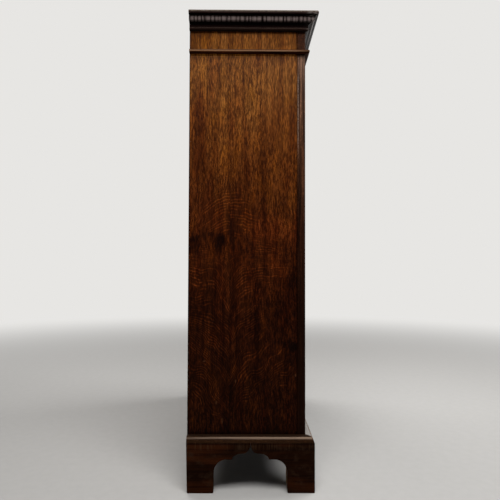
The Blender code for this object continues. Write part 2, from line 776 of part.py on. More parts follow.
# Butt hinges: the pin is fast in the frame's leaf, and the door's knuckles turn on it
BORE_RADIUS = PIN_RADIUS + PIN_CLEARANCE
LEAF_FRONT = KNUCKLE_RADIUS + KNUCKLE_FORWARD + GAP
LEAF_BACK = PIN_FORWARD + LEAF_DEEP
TAB_END = (BORE_RADIUS + KNUCKLE_RADIUS) / 2


def knuckle_span(number):
    low = -HINGE_TALL / 2 + number * KNUCKLE_TALL
    return low + GAP / 2, low + KNUCKLE_TALL - GAP / 2


def realised(piece):
    """A piece's finished shape in its parent space, as a mesh that several pieces can share."""
    mesh = welded(piece)
    mesh.transform(piece.matrix_world)
    return mesh


def leaf_mesh(name, numbers, side, barrels):
    """A plate with a tab out to each of its own knuckles, joined to those knuckles."""
    ends = (-HINGE_TALL / 2, HINGE_TALL / 2)
    outline = [(LEAF_BACK, ends[0]), (LEAF_BACK, ends[1])]
    for number in reversed(range(KNUCKLE_COUNT)):
        low, high = knuckle_span(number)
        if number in numbers:
            outline += [(LEAF_FRONT, high), (TAB_END, high), (TAB_END, low), (LEAF_FRONT, low)]
    if KNUCKLE_COUNT - 1 not in numbers:
        outline.insert(2, (LEAF_FRONT, ends[1]))
    if 0 not in numbers:
        outline.append((LEAF_FRONT, ends[0]))
    middle = side * (LEAF_SPLIT + LEAF_THICK / 2)
    plate_mesh = outline_mesh(name, outline, LEAF_THICK)
    plate = place(name, plate_mesh, BRASS, (middle, 0, 0), turn=axes(BACK, UP, RIGHT))
    tools = [as_cutter(place(f"{name}_barrel", barrel, BRASS, (0, 0, 0))) for barrel in barrels]
    unite(plate, *tools)
    mesh = realised(plate)
    for spare in (plate, *tools):
        bpy.data.objects.remove(spare, do_unlink=True)
    return mesh


def hinge_meshes():
    """The frame's leaf with its pin, and the door's leaf, each with its origin on the pin's axis."""
    fixed = [n for n in range(KNUCKLE_COUNT) if n % 2 == 0]
    loose = [n for n in range(KNUCKLE_COUNT) if n % 2 == 1]
    half = HINGE_TALL / 2
    tip = PIN_TIP * 0.8
    profile = [(0, half + PIN_TIP), (PIN_RADIUS * 0.8, half + tip), (PIN_RADIUS, half)]
    for number in reversed(fixed):
        low, high = knuckle_span(number)
        profile += [(PIN_RADIUS, high), (KNUCKLE_RADIUS, high), (KNUCKLE_RADIUS, low), (PIN_RADIUS, low)]
    profile += [(PIN_RADIUS, -half), (PIN_RADIUS * 0.8, -half - tip), (0, -half - PIN_TIP)]
    pin = turned_mesh("hinge_pin", profile)
    rings = []
    for number in loose:
        low, high = knuckle_span(number)
        ring = [(KNUCKLE_RADIUS, high), (KNUCKLE_RADIUS, low), (BORE_RADIUS, low), (BORE_RADIUS, high)]
        rings.append(turned_mesh("hinge_knuckle", ring, closed=True))
    return leaf_mesh("frame_leaf", fixed, -1, [pin]), leaf_mesh("door_leaf", loose, 1, rings)


FRAME_LEAF, DOOR_LEAF = hinge_meshes()


def hang(door, hinge_stile):
    """Two hinges: one leaf let into the face frame, the other into the door."""
    half_turn = Matrix.Rotation(math.pi, 3, "Y") if door.hand > 0 else Matrix.Identity(3)
    for label, z in hinge_heights().items():
        pin = door.point(0, 0, z)
        name = f"{door.name}_{label}_hinge"
        place(f"{name}_frame_leaf", FRAME_LEAF.copy(), BRASS, pin, turn=half_turn)
        place(f"{name}_door_leaf", DOOR_LEAF.copy(), BRASS, pin, door.pivot, turn=half_turn)
        edge_x = door.point(HINGE_STILE_US[0] + LEAF_BITE, 0, 0).x
        past_x = door.point(-DOOR_STILE_WIDE, 0, 0).x
        cut(hinge_stile, leaf_pocket(f"{name}_door_pocket", edge_x, past_x, z, door.pivot))


left_door = Door("left_door", -1)
right_door = Door("right_door", 1)
stiles = {}
for door in (left_door, right_door):
    stiles[door.name] = door_frame(door)
    glazing_bars(door)
    hang(door, stiles[door.name]["hinge_stile"])


# Lock on the right door: a case, a bolt that slides behind the left door, and a key
KEY_U = DOOR_WIDE - DOOR_STILE_WIDE / 2
LOCK_VS = (DOOR_BACK + GAP, DOOR_BACK + GAP + LOCK_DEEP)
LOCK_ZS = (LOCK_HEIGHT - LOCK_DROP, LOCK_HEIGHT - LOCK_DROP + LOCK_TALL)
LOCK_US = (KEY_U - LOCK_WIDE / 2, KEY_U + LOCK_WIDE / 2)
LOCK_BOLT_VS = (DOOR_BACK + LOCK_BOLT_BEHIND, DOOR_BACK + LOCK_BOLT_BEHIND + LOCK_BOLT_THICK)
LOCK_BOLT_ZS = (LOCK_HEIGHT + LOCK_BOLT_RISE, LOCK_HEIGHT + LOCK_BOLT_RISE + LOCK_BOLT_TALL)
KEY_FRONT = PIN_FORWARD - KEY_STANDS_OUT
ALONG_Y = axes(-RIGHT, UP, BACK)  # a turned piece that points into the cabinet


def key_bore(label, vs):
    """A round hole on the key's axis."""
    radius = KEY_RADIUS + KEY_CLEARANCE
    long = vs[1] - vs[0]
    mesh = turned_mesh(label, [(0, long), (radius, long), (radius, 0), (0, 0)])
    spot = right_door.point(KEY_U, vs[0], LOCK_HEIGHT)
    return as_cutter(place(f"right_door_{label}", mesh, BRASS, spot, right_door.pivot, ALONG_Y))


keyhole_vs = (0, DOOR_BACK + PIN_FORWARD)
slot_half = KEY_BIT_THICK / 2 + KEY_CLEARANCE
keyhole_slot = right_door.hole(
    "keyhole_slot",
    (KEY_U - slot_half, KEY_U + slot_half),
    keyhole_vs,
    (LOCK_HEIGHT - KEY_BIT_REACH - KEY_CLEARANCE, LOCK_HEIGHT),
)
cut(stiles["right_door"]["meeting_stile"], key_bore("keyhole", keyhole_vs), keyhole_slot)

lock_case = right_door.block("lock_case", LOCK_US, LOCK_VS, LOCK_ZS, BRASS, ease=EASE / 2)
lock_room = right_door.hole(
    "lock_room",
    (LOCK_US[0] + LOCK_WALL, LOCK_US[1] - LOCK_WALL),
    (LOCK_VS[0] - LOCK_WALL, LOCK_VS[1] - LOCK_WALL),
    (LOCK_ZS[0] + LOCK_WALL, LOCK_ZS[1] - LOCK_WALL),
)
bolt_slot = right_door.hole(
    "lock_bolt_slot",
    (KEY_U, LOCK_US[1] + LOCK_WALL),
    (LOCK_BOLT_VS[0] - GAP, LOCK_BOLT_VS[1] + GAP),
    (LOCK_BOLT_ZS[0] - GAP, LOCK_BOLT_ZS[1] + GAP),
)
cut(lock_case, lock_room, bolt_slot, key_bore("key_pivot", (LOCK_VS[1] - 2 * LOCK_WALL, LOCK_VS[1] + LOCK_WALL)))

lock_bolt = right_door.block(
    "lock_bolt",
    (LOCK_US[0] + LOCK_WALL + GAP, LOCK_US[1]),
    LOCK_BOLT_VS,
    LOCK_BOLT_ZS,
    BRASS,
    ease=EASE / 2,
)
bolt_notch = right_door.hole(
    "lock_bolt_notch",
    (KEY_U - LOCK_NOTCH_TO, KEY_U - LOCK_NOTCH_FROM),
    (LOCK_BOLT_VS[0] - LOCK_WALL, LOCK_BOLT_VS[1] + LOCK_WALL),
    (LOCK_BOLT_ZS[0] - LOCK_WALL, LOCK_BOLT_ZS[0] + LOCK_NOTCH_DEEP),
)
cut(lock_bolt, bolt_notch)


def build_key():
    """A turned shank with a collar, an oval bow at its outer end and the bit inside the lock."""
    bow_v = KEY_FRONT + KEY_BOW_RADIUS + KEY_BOW_THICK
    shank_from = bow_v + KEY_BOW_RADIUS
    long = LOCK_VS[1] - shank_from
    collar = KEY_RADIUS * 1.5
    profile = [(0, long), (KEY_RADIUS, long), (KEY_RADIUS, KEY_RADIUS * 1.4), (collar, KEY_RADIUS * 1.2)]
    profile += [(collar, KEY_RADIUS * 0.4), (KEY_RADIUS, KEY_RADIUS * 0.2), (KEY_RADIUS, 0), (0, 0)]
    shank = turned_mesh("key_shank", profile)
    key = place("key", shank, BRASS, right_door.point(KEY_U, shank_from, LOCK_HEIGHT), right_door.pivot, ALONG_Y)
    section = arc((KEY_BOW_RADIUS, 0), (KEY_BOW_THICK, KEY_BOW_THICK), 90, -225, steps=7)
    bow_mesh = turned_mesh("key_bow", section, closed=True)
    bow_at = right_door.point(KEY_U, bow_v, LOCK_HEIGHT)
    bow = place("key_bow", bow_mesh, BRASS, bow_at, right_door.pivot, axes(BACK, UP, RIGHT))
    bit = right_door.block(
        "key_bit",
        (KEY_U - KEY_BIT_THICK / 2, KEY_U + KEY_BIT_THICK / 2),
        (LOCK_BOLT_VS[0], LOCK_BOLT_VS[0] + KEY_BIT_LONG),
        (LOCK_HEIGHT - KEY_BIT_REACH, LOCK_HEIGHT),
        BRASS,
        ease=0,
    )
    unite(key, as_cutter(bow), as_cutter(bit))


build_key()


# Slide bolts on the left door, drawn back at rest; each end shoots into a socket
BOLT_U = DOOR_WIDE - DOOR_STILE_WIDE / 2
BOLT_PLATE_VS = (DOOR_BACK + GAP, DOOR_BACK + GAP + BOLT_PLATE_THICK)
BOLT_VS = (BOLT_PLATE_VS[1] + BOLT_SLACK, BOLT_PLATE_VS[1] + BOLT_SLACK + BOLT_THICK)
BRIDGE_VS = (BOLT_PLATE_VS[0], BOLT_VS[1] + BOLT_SLACK + BOLT_BRIDGE_WALL)
TUNNEL_VS = (BOLT_VS[0] - BOLT_SLACK, BOLT_VS[1] + BOLT_SLACK)
BOLT_US = (BOLT_U - BOLT_WIDE / 2, BOLT_U + BOLT_WIDE / 2)
TUNNEL_US = (BOLT_US[0] - BOLT_SLACK, BOLT_US[1] + BOLT_SLACK)
BRIDGE_US = (TUNNEL_US[0] - BOLT_BRIDGE_WALL, TUNNEL_US[1] + BOLT_BRIDGE_WALL)
PLATE_US = (BOLT_U - BOLT_PLATE_WIDE / 2, BOLT_U + BOLT_PLATE_WIDE / 2)


def slide_bolt(label, socket_z, way, receiver):
    """A plate with two bridges, and the flat bolt with its knob; way is +1 up or -1 down."""

    def heights(near, far):
        return tuple(sorted((end_z - way * near, end_z - way * far)))

    end_z = socket_z - way * BOLT_START
    plate_far = BOLT_PLATE_BACK + BOLT_PLATE_LONG
    plate = left_door.block(
        f"{label}_bolt_plate", PLATE_US, BOLT_PLATE_VS, heights(BOLT_PLATE_BACK, plate_far), BRASS, ease=EASE / 2
    )
    bridges = []
    for i, near in enumerate((BOLT_PLATE_BACK + EASE, plate_far - BOLT_BRIDGE_LONG - EASE)):
        zs = heights(near, near + BOLT_BRIDGE_LONG)
        bridges.append(as_cutter(left_door.block(f"{label}_bridge_{i}", BRIDGE_US, BRIDGE_VS, zs, BRASS, ease=0)))
    unite(plate, *bridges)
    cut(plate, left_door.hole(f"{label}_tunnel", TUNNEL_US, TUNNEL_VS, heights(-BOLT_LONG, 2 * BOLT_LONG)))

    bolt = left_door.block(f"{label}_bolt", BOLT_US, BOLT_VS, heights(0, BOLT_LONG), BRASS, ease=EASE / 2)
    knob_at = BOLT_PLATE_BACK + BOLT_PLATE_LONG / 2
    knob_long = BOLT_THICK / 2 + BOLT_KNOB_TALL
    top = BOLT_KNOB_RADIUS
    profile = [(0, knob_long), (top * 0.8, knob_long), (top, knob_long * 0.9), (top, knob_long * 0.75)]
    profile += [(top * 0.7, knob_long * 0.6), (top * 0.7, 0), (0, 0)]
    spot = left_door.point(BOLT_U, BOLT_VS[0] + BOLT_THICK / 2, end_z - way * knob_at)
    knob_mesh = turned_mesh(f"{label}_knob", profile)
    unite(bolt, as_cutter(place(f"{label}_knob", knob_mesh, BRASS, spot, left_door.pivot, ALONG_Y)))

    deep = BOLT_THROW - BOLT_START + 3 * BOLT_SLACK
    slack = 1.5 * BOLT_SLACK
    zs = tuple(sorted((socket_z - way * BOLT_THROW, socket_z + way * deep)))
    socket = left_door.hole(
        f"{label}_socket",
        (BOLT_US[0] - slack, BOLT_US[1] + slack),
        (BOLT_VS[0] - slack, BOLT_VS[1] + slack),
        zs,
    )
    cut(receiver, socket)


slide_bolt("top", HEAD_LIP_Z, 1, frieze_rail)
slide_bolt("bottom", BOTTOM_Z, -1, bottom_board)
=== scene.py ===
# %% [markdown]
# # A display cabinet in old oak
#
# This lesson dresses a cabinet on bracket feet: polished and worn oak, a pine back, brass fittings and old glass.
# The solids come from the CAD model and stay where they are. This script gives each one its finish and adds the
# small things that a cabinet maker puts in last: pegs, screws, nails and the plate round the keyhole.

# %% Load the solids
import json
import math

import bpy
from mathutils import Matrix, Vector

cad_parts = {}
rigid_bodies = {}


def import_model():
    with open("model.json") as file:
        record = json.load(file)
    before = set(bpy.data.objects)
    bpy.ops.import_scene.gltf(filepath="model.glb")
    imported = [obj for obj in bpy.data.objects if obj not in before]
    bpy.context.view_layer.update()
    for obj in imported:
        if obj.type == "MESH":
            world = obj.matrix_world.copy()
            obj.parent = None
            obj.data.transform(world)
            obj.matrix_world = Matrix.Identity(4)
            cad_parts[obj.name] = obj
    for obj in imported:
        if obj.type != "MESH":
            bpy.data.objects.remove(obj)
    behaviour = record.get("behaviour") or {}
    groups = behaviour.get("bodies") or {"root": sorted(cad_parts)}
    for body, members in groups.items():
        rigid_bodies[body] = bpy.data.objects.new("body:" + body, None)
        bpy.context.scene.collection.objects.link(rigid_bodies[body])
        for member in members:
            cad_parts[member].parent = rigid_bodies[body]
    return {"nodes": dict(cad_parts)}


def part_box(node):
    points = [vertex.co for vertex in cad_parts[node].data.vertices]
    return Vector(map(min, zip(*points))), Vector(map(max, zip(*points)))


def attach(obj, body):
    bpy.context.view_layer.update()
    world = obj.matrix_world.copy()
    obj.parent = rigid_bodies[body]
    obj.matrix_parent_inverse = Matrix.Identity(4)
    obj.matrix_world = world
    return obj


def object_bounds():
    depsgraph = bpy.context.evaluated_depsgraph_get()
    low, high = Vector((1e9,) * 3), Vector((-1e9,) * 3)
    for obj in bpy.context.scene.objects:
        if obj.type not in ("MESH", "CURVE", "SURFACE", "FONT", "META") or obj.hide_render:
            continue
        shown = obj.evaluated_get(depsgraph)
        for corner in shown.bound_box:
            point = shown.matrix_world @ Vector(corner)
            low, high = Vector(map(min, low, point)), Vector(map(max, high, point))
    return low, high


for leftover in list(bpy.data.objects):
    bpy.data.objects.remove(leftover)
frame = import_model()
nodes = frame["nodes"]
CAD_BOX = [list(corner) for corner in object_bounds()]
HEIGHT = CAD_BOX[1][2]
print(len(nodes), "solids, height", round(HEIGHT, 3))

# %% [markdown]
# ## The camera
#
# The picture is taken square to one end of the cabinet, at a little under half its height. A camera is easiest to
# set by the three directions that it sees: right, down and ahead. They start square to the end, and small turns
# of pitch, yaw and roll bring them to the view.

# %% Camera
EYE = Vector((-1.7143, 0.0197, 0.5601))
PITCH, YAW, ROLL = (math.radians(angle) for angle in (-1.702, -0.553, 0.173))
FILM_WIDE = LENS = 36


def add_object(name, data):
    """Puts a mesh, curve, lamp or camera into the scene."""
    made = bpy.data.objects.new(name, data)
    bpy.context.scene.collection.objects.link(made)
    return made


def seen_directions():
    """Right, down and ahead of the camera."""
    turn = Matrix.Rotation(ROLL, 3, "Z") @ Matrix.Rotation(PITCH, 3, "X") @ Matrix.Rotation(YAW, 3, "Y")
    return [Vector((row[2], -row[0], -row[1])) for row in turn]


right, down, ahead = seen_directions()
camera_data = bpy.data.cameras.new("camera")
camera_data.sensor_width, camera_data.lens = FILM_WIDE, LENS
camera = add_object("camera", camera_data)
camera.matrix_world = Matrix.Translation(EYE) @ Matrix((right, -down, -ahead)).transposed().to_4x4()
bpy.context.scene.camera = camera
bpy.context.scene.view_settings.view_transform = "Standard"
print("the camera looks along", [round(v, 3) for v in ahead])

# %% [markdown]
# ## Writing node trees as sums
#
# A finish is a small calculation: so much grain, times so much wear, in this colour. Adding nodes one by one hides
# that, so one class wraps a socket. Sums and products of wires add the Math nodes, and one method adds any other
# node.

# %% A wire


class Wire:
    """An output socket of a node tree."""

    def __init__(self, tree, socket=None):
        self.tree, self.socket = tree, socket

    def node(self, kind, settings=None, sockets=None, out=0):
        """Adds a node: first its settings, then a value or a wire for each socket."""
        made = self.tree.nodes.new(kind)
        for key, value in (settings or {}).items():
            if key == "stops":
                ramp = made.color_ramp
                while len(ramp.elements) < len(value):
                    ramp.elements.new(1)
                for element, (place, shade) in zip(ramp.elements, value):
                    element.position, element.color = place, shade
            else:
                setattr(made, key, value)
        for key, value in (sockets or {}).items():
            if isinstance(value, Wire):
                self.tree.links.new(value.socket, made.inputs[key])
            else:
                made.inputs[key].default_value = value
        return Wire(self.tree, made.outputs[out] if made.outputs else None)

    def maths(self, operation, *terms):
        return self.node("ShaderNodeMath", {"operation": operation}, dict(enumerate(terms)))

    def __add__(self, other):
        return self.maths("ADD", self, other)

    def __sub__(self, other):
        return self.maths("SUBTRACT", self, other)

    def __rsub__(self, other):
        return self.maths("SUBTRACT", other, self)

    def __mul__(self, other):
        return self.maths("MULTIPLY", self, other)

    def __truediv__(self, other):
        return self.maths("DIVIDE", self, other)

    def __pow__(self, other):
        return self.maths("POWER", self, other)

    __radd__, __rmul__ = __add__, __mul__


print("a wire takes part in sums, products and powers")

# %% [markdown]
# ## Words for a finish
#
# A polisher speaks of where a stain begins and ends, how it wanders and what lies over what. Each of these becomes
# a helper, so that a finish further down reads like its description. Colours are written as a picture shows them,
# because they are easiest to judge that way.

# %% Masks, noise and colours


def ease(value, low, high):
    """0 up to low, 1 from high on and a smooth rise between; low may be the greater."""
    ends = {"Value": value, "From Min": low, "From Max": high}
    return value.node("ShaderNodeMapRange", {"interpolation_type": "SMOOTHSTEP"}, ends)


def strip(value, start, full, fade, end):
    """1 from full to fade, and 0 before start and after end."""
    return ease(value, start, full) * ease(value, end, fade)


def noise(x, y, z, detail=2.0, rough=0.5):
    """Cloudy noise round 0.5: each direction comes as metres times the clouds to a metre."""
    wire = next(axis for axis in (x, y, z) if isinstance(axis, Wire))
    place = wire.node("ShaderNodeCombineXYZ", None, {0: x, 1: y, 2: z})
    sockets = {"Vector": place, "Scale": 1.0, "Detail": detail, "Roughness": rough}
    return wire.node("ShaderNodeTexNoise", None, sockets)


def clouds(place, across, along, detail=2.0, rough=0.5):
    """Noise by its clouds to a metre, across and along the last direction."""
    first, second, last = place
    return noise(first * across, second * across, last * along, detail, rough)


def blend(share, below, above, mode="MIX"):
    """From one colour to another by a share of 0 to 1."""
    settings = {"data_type": "RGBA", "blend_type": mode}
    return share.node("ShaderNodeMix", settings, {0: share, 6: below, 7: above}, out=2)


def tint(share, tone, red, green, blue):
    """A colour times three factors, by a share: below 1 they darken it, above 1 they lighten it."""
    return blend(share, tone, (red, green, blue, 1), "MULTIPLY")


def colour(red, green, blue):
    """A colour as a picture shows it, 0 to 255, in the linear values that shaders use."""
    parts = [v / 255 for v in (red, green, blue)]
    return (*(v / 12.92 if v < 0.04045 else ((v + 0.055) / 1.055) ** 2.4 for v in parts), 1.0)


print("middle grey is", round(colour(128, 128, 128)[0], 3), "to a shader")

# %% [markdown]
# ## From a recipe to a finish
#
# Every finish here is one Principled shader, which does for wood, metal and glass alike. A recipe is a function that
# says what each of its sockets gets. Patterns are placed in metres from the object's origin. All pieces share that
# origin, so a pattern runs through the whole cabinet, and it stays on its door when the door swings.

# %% Finishes and places


def finish(name, recipe, *details, **more):
    """A material whose shader gets what the recipe says, as numbers or wires."""
    material = bpy.data.materials.new(name)
    material.use_nodes = True
    tree = material.node_tree
    tree.nodes.clear()
    shader = tree.nodes.new("ShaderNodeBsdfPrincipled")
    output = tree.nodes.new("ShaderNodeOutputMaterial")
    tree.links.new(shader.outputs[0], output.inputs["Surface"])
    for key, value in recipe(Wire(tree), *details, **more).items():
        if isinstance(value, Wire):
            tree.links.new(value.socket, shader.inputs[key])
        else:
            shader.inputs[key].default_value = value
    print(name, "has", len(tree.nodes), "nodes")
    return material


def show_over(material, share, other):
    """Shows another shader instead of the finish, by a share of 0 to 1."""
    tree = material.node_tree
    below = Wire(tree, tree.nodes["Principled BSDF"].outputs[0])
    mixed = below.node("ShaderNodeMixShader", None, {0: share, 1: below, 2: other})
    tree.links.new(mixed.socket, tree.nodes["Material Output"].inputs["Surface"])


def position(wire):
    """x, y and z of the surface, in metres from the object's origin."""
    place = wire.node("ShaderNodeTexCoord", None, None, out=3)
    split = wire.node("ShaderNodeSeparateXYZ", None, {0: place})
    return [Wire(wire.tree, output) for output in split.socket.node.outputs]


def relief(height, depth, strength):
    return height.node("ShaderNodeBump", None, {"Strength": strength, "Distance": depth, "Height": height})


print("patterns run up to", round(HEIGHT, 3), "m")

# %% [markdown]
# ## The background
#
# The cabinet is shown against plain pale grey. A bright world would give that, but it would light the wood too. So
# a ray that ends in the picture, straight, in gloss or through glass, finds the background, and any other ray finds
# a dim sky.

# %% World
BACKGROUND = (0.80, 0.79, 0.77, 1.0)
WHITE = (1.0, 1.0, 1.0, 1.0)
SKY_LEVEL = 0.06
PICTURE_RAYS = ("Camera", "Glossy", "Transmission")


def any_ray(wire, kinds):
    """1 for a ray of one of these kinds, 0 for any other."""
    outputs = wire.node("ShaderNodeLightPath").socket.node.outputs
    found, *others = [Wire(wire.tree, outputs[f"Is {kind} Ray"]) for kind in kinds]
    for ray in others:
        found = wire.maths("MAXIMUM", found, ray)
    return found


world = bpy.data.worlds.new("studio")
world.use_nodes = True
world.node_tree.nodes.clear()
bpy.context.scene.world = world
sky = Wire(world.node_tree)
dim = sky.node("ShaderNodeBackground", None, {"Color": WHITE, "Strength": SKY_LEVEL})
plain = sky.node("ShaderNodeBackground", None, {"Color": BACKGROUND, "Strength": 1.0})
mixed = sky.node("ShaderNodeMixShader", None, {0: any_ray(sky, PICTURE_RAYS), 1: dim, 2: plain})
sky.node("ShaderNodeOutputWorld", None, {"Surface": mixed})
print("background", BACKGROUND[:3], "sky", SKY_LEVEL)

# %% [markdown]
# ## The floor
#
# A pale painted floor takes the cabinet's shadow. A large flat sheet with a faint speckle is all it needs. Far from
# the cabinet its paint fades into the background, so that no edge of the sheet shows.

# %% Floor
FLOOR_REACH = 30.0
FADE_FROM, FADE_TO = 1.2, 4.0
PAINT_DARK, PAINT_PALE = (0.41, 0.40, 0.385, 1), (0.45, 0.44, 0.425, 1)


def floor_paint(start):
    x, y, z = position(start)
    speckle = noise(x * 40, y * 40, z, 3)
    return {"Base Color": blend(speckle, PAINT_DARK, PAINT_PALE), "Roughness": 0.8, "Specular IOR Level": 0.1}


paint = finish("floor_paint", floor_paint)
wire = Wire(paint.node_tree)
x, y, z = position(wire)
far = ease((x * x + y * y) ** 0.5, FADE_FROM, FADE_TO) * any_ray(wire, PICTURE_RAYS)
glow = wire.node("ShaderNodeEmission", None, {"Color": BACKGROUND, "Strength": 1.0})
show_over(paint, far, glow)
corners = [(i * FLOOR_REACH, j * FLOOR_REACH, 0) for i, j in ((-1, -1), (1, -1), (1, 1), (-1, 1))]
floor_mesh = bpy.data.meshes.new("floor")
floor_mesh.from_pydata(corners, [], [(0, 1, 2, 3)])
floor = add_object("floor", floor_mesh)
floor_mesh.materials.append(paint)
print("floor", 2 * FLOOR_REACH, "m wide, fading from", FADE_FROM, "m")

# %% [markdown]
# ## The lamps
#
# Mouldings only read in light that comes from somewhere. A broad panel high on the near side catches their tops, a
# second one lights the doors and a third the back. Area lamps are used because the size of a panel sets how soft its
# shadows are.

# %% Three soft panels
CABINET_MIDDLE, NEAR_END = (0.0, 0.0, 0.7), (-0.45, 0.0, 0.95)


def lamp(name, place, towards, size, watts):
    """A panel of a width and height that faces a point."""
    data = bpy.data.lights.new(name, "AREA")
    data.shape, data.energy = "RECTANGLE", watts
    data.size, data.size_y = size
    panel = add_object(name, data)
    panel.location = place
    panel.rotation_euler = (Vector(towards) - Vector(place)).to_track_quat("-Z", "Y").to_euler()
    print(name, size, "m,", watts, "W")


lamp("near_panel", (-1.35, -0.15, 2.15), NEAR_END, (1.4, 0.9), 49)
lamp("front_panel", (0.5, -1.75, 2.65), CABINET_MIDDLE, (1.6, 1.2), 64)
lamp("far_panel", (1.35, 1.0, 2.55), CABINET_MIDDLE, (1.4, 1.2), 42)

# %% [markdown]
# ## Fibres
#
# Oak has long fibres, short dark pores and a darker sawn end. A picture of oak could be laid on, but it would stretch
# and repeat. Noise that is squeezed across the fibres and drawn out along them gives streaks and pores of any length,
# right through the board, so they also meet at its edges.

# %% Streaks, pores and sawn ends


def grain_place(x, y, z, along):
    """The two ways across the fibres, and then the way along them."""
    place = {"x": x, "y": y, "z": z}
    length = place.pop(along)
    return *place.values(), length


def fibres(board):
    """Broad streaks, fine fibre and dark pores of a board, each 0 to 1."""
    streak = clouds(board, 190, 5, 3, 0.6)
    fibre = clouds(board, 900, 14)
    pore = ease(clouds(board, 1500, 42, 1), 0.60, 0.72)
    return streak, fibre, pore


def facing(wire, axis):
    """How far the surface faces along an axis: 1 with it, 0 square to it, -1 against it."""
    normal = wire.node("ShaderNodeNewGeometry", None, None, out=1)
    return wire.node("ShaderNodeSeparateXYZ", None, {0: normal}, out="xyz".index(axis))


def end_grain(wire, along):
    """1 on a face that the fibres run out of."""
    part = facing(wire, along)
    return ease(part * part, 0.30, 0.60)


print("fibres run along x, y or z")

# %% [markdown]
# ## Wear, painted highlights and painted shade
#
# Hands and dusters rub an old cabinet pale along the edges that face up, and those edges also carry a painted
# highlight. Surfaces that face down are darkened with painted shade. Both could be painted edge by edge. The direction
# that a surface faces finds the same places on every moulding at once.

# %% Rubbed edges, painted highlights and painted shade
# Pale edge colours, paler low down as painted light, and the tint of painted shade on undersides.
RUBBED_LIT_LOW, RUBBED_LIT_HIGH = colour(150, 128, 110), colour(80, 52, 32)
ARRIS = (0.15, 0.55, 0.85, 0.99)
UNDERSIDE_SHADE = (0.08, 0.05, 0.03)


def rubbed_light_and_shade(tone, wire, patchy, strength=0.7, low=RUBBED_LIT_LOW, high=RUBBED_LIT_HIGH, arris=ARRIS, grime=-0.05, soil=UNDERSIDE_SHADE):
    """Rubs pale the edges whose upward share lies in arris, partly as painted highlight, and darkens what faces down
    with painted shade.
    """
    up = facing(wire, "z")
    # Painted light: the pale edge colour is paler low down, where the lamps give less light.
    rubbed_and_lit = blend(position(wire)[2] * (1 / HEIGHT), low, high)
    edge = strip(up, *arris) * ease(patchy, 0.25, 0.6)
    tone = blend(edge * strength, tone, rubbed_and_lit)
    # Painted shade: what faces down is darkened.
    return tint(ease(up, grime, grime - 0.55) * 0.9, tone, *soil)


print("an edge is rubbed where it faces up by", ARRIS[1], "to", ARRIS[2])

# %% [markdown]
# ## Old oak
#
# The oak is honey brown high up and nearly black near the floor. That is partly old polish and dust built up low down,
# and partly painted shade for the light that falls off towards the floor. A ramp over the height gives both. Fibres,
# pores, pale flecks and fine cracks of the polish are multiplied onto it, because each of them lets some of the colour
# below show.

# %% Colour of old oak
# Darker towards the floor: partly old polish and dust, partly painted shade.
AGE_AND_SHADE = [
    (0.10, colour(25, 9, 3)),
    (0.36, colour(30, 12, 4)),
    (0.55, colour(42, 20, 10)),
    (0.74, colour(74, 46, 29)),
    (0.95, colour(94, 71, 56)),
]


def oak_colour(start, board, grain, height, age_and_shade, grooved):
    """The colour before any wear, and the crazing of the polish."""
    across, through, length = board
    streak, fibre, pore = grain
    cloud = clouds(board, 22, 3.2)
    fleck = ease(clouds(board, 300, 110), 0.54, 0.68)
    craze = ease(clouds(board, 420, 260), 0.50, 0.40)
    groove = noise(across * 210 + 5.0, through * 210, length * 9, 2, 0.6)
    open_grain = ease(height, 0.05, 0.65)
    # The ramp over the height is partly the oak's colour and partly painted shade towards the floor.
    tone = start.node("ShaderNodeValToRGB", {"stops": age_and_shade}, {0: height + (cloud - 0.5) * 0.20})
    tone = tint(ease(streak, 0.62, 0.36) * 0.55, tone, 0.36, 0.28, 0.22)
    tone = tint(fibre * 0.35, tone, 0.55, 0.47, 0.42)
    tone = tint(pore * 0.6, tone, 0.25, 0.2, 0.18)
    tone = tint(craze * 0.5, tone, 0.5, 0.45, 0.42)
    tone = tint(fleck * 0.7, tone, 1.9, 1.85, 1.85)
    tone = tint(ease(groove, 0.50, 0.38) * open_grain * grooved, tone, 0.30, 0.26, 0.24)
    tone = tint(ease(groove, 0.52, 0.64) * open_grain * grooved, tone, 1.85, 1.85, 1.9)
    return tone, craze


print("oak has", len(AGE_AND_SHADE), "ages over its height")

# %% [markdown]
# ## Oak for frames, shelves and mouldings
#
# Stiles stand, rails and shelves lie along the front and mouldings turn the corner, so one function takes the
# direction of the fibres. Level faces may carry a colour of their own: painted light on the front base moulding,
# painted shade on the astragal, and a darker face at the ends of the base moulding. The stiles also have a painted
# highlight line high up along the edge beside the side board, and a painted shade line in the gap next to it.

# %% Oak in any direction
POLISH = 0.12
# Painted light and shade on the stiles: a highlight line and, beside it, a shade line in the gap.
HIGHLIGHT_HEIGHT = (0.82, 0.90, 1.03, 1.06)
HIGHLIGHT_LINE = (-0.1160, -0.1150, -0.1136, -0.1126)
SHADE_LINE = (-0.1195, -0.1182, -0.1168, -0.1160)
HIGHLIGHT_OAK = colour(132, 114, 102)


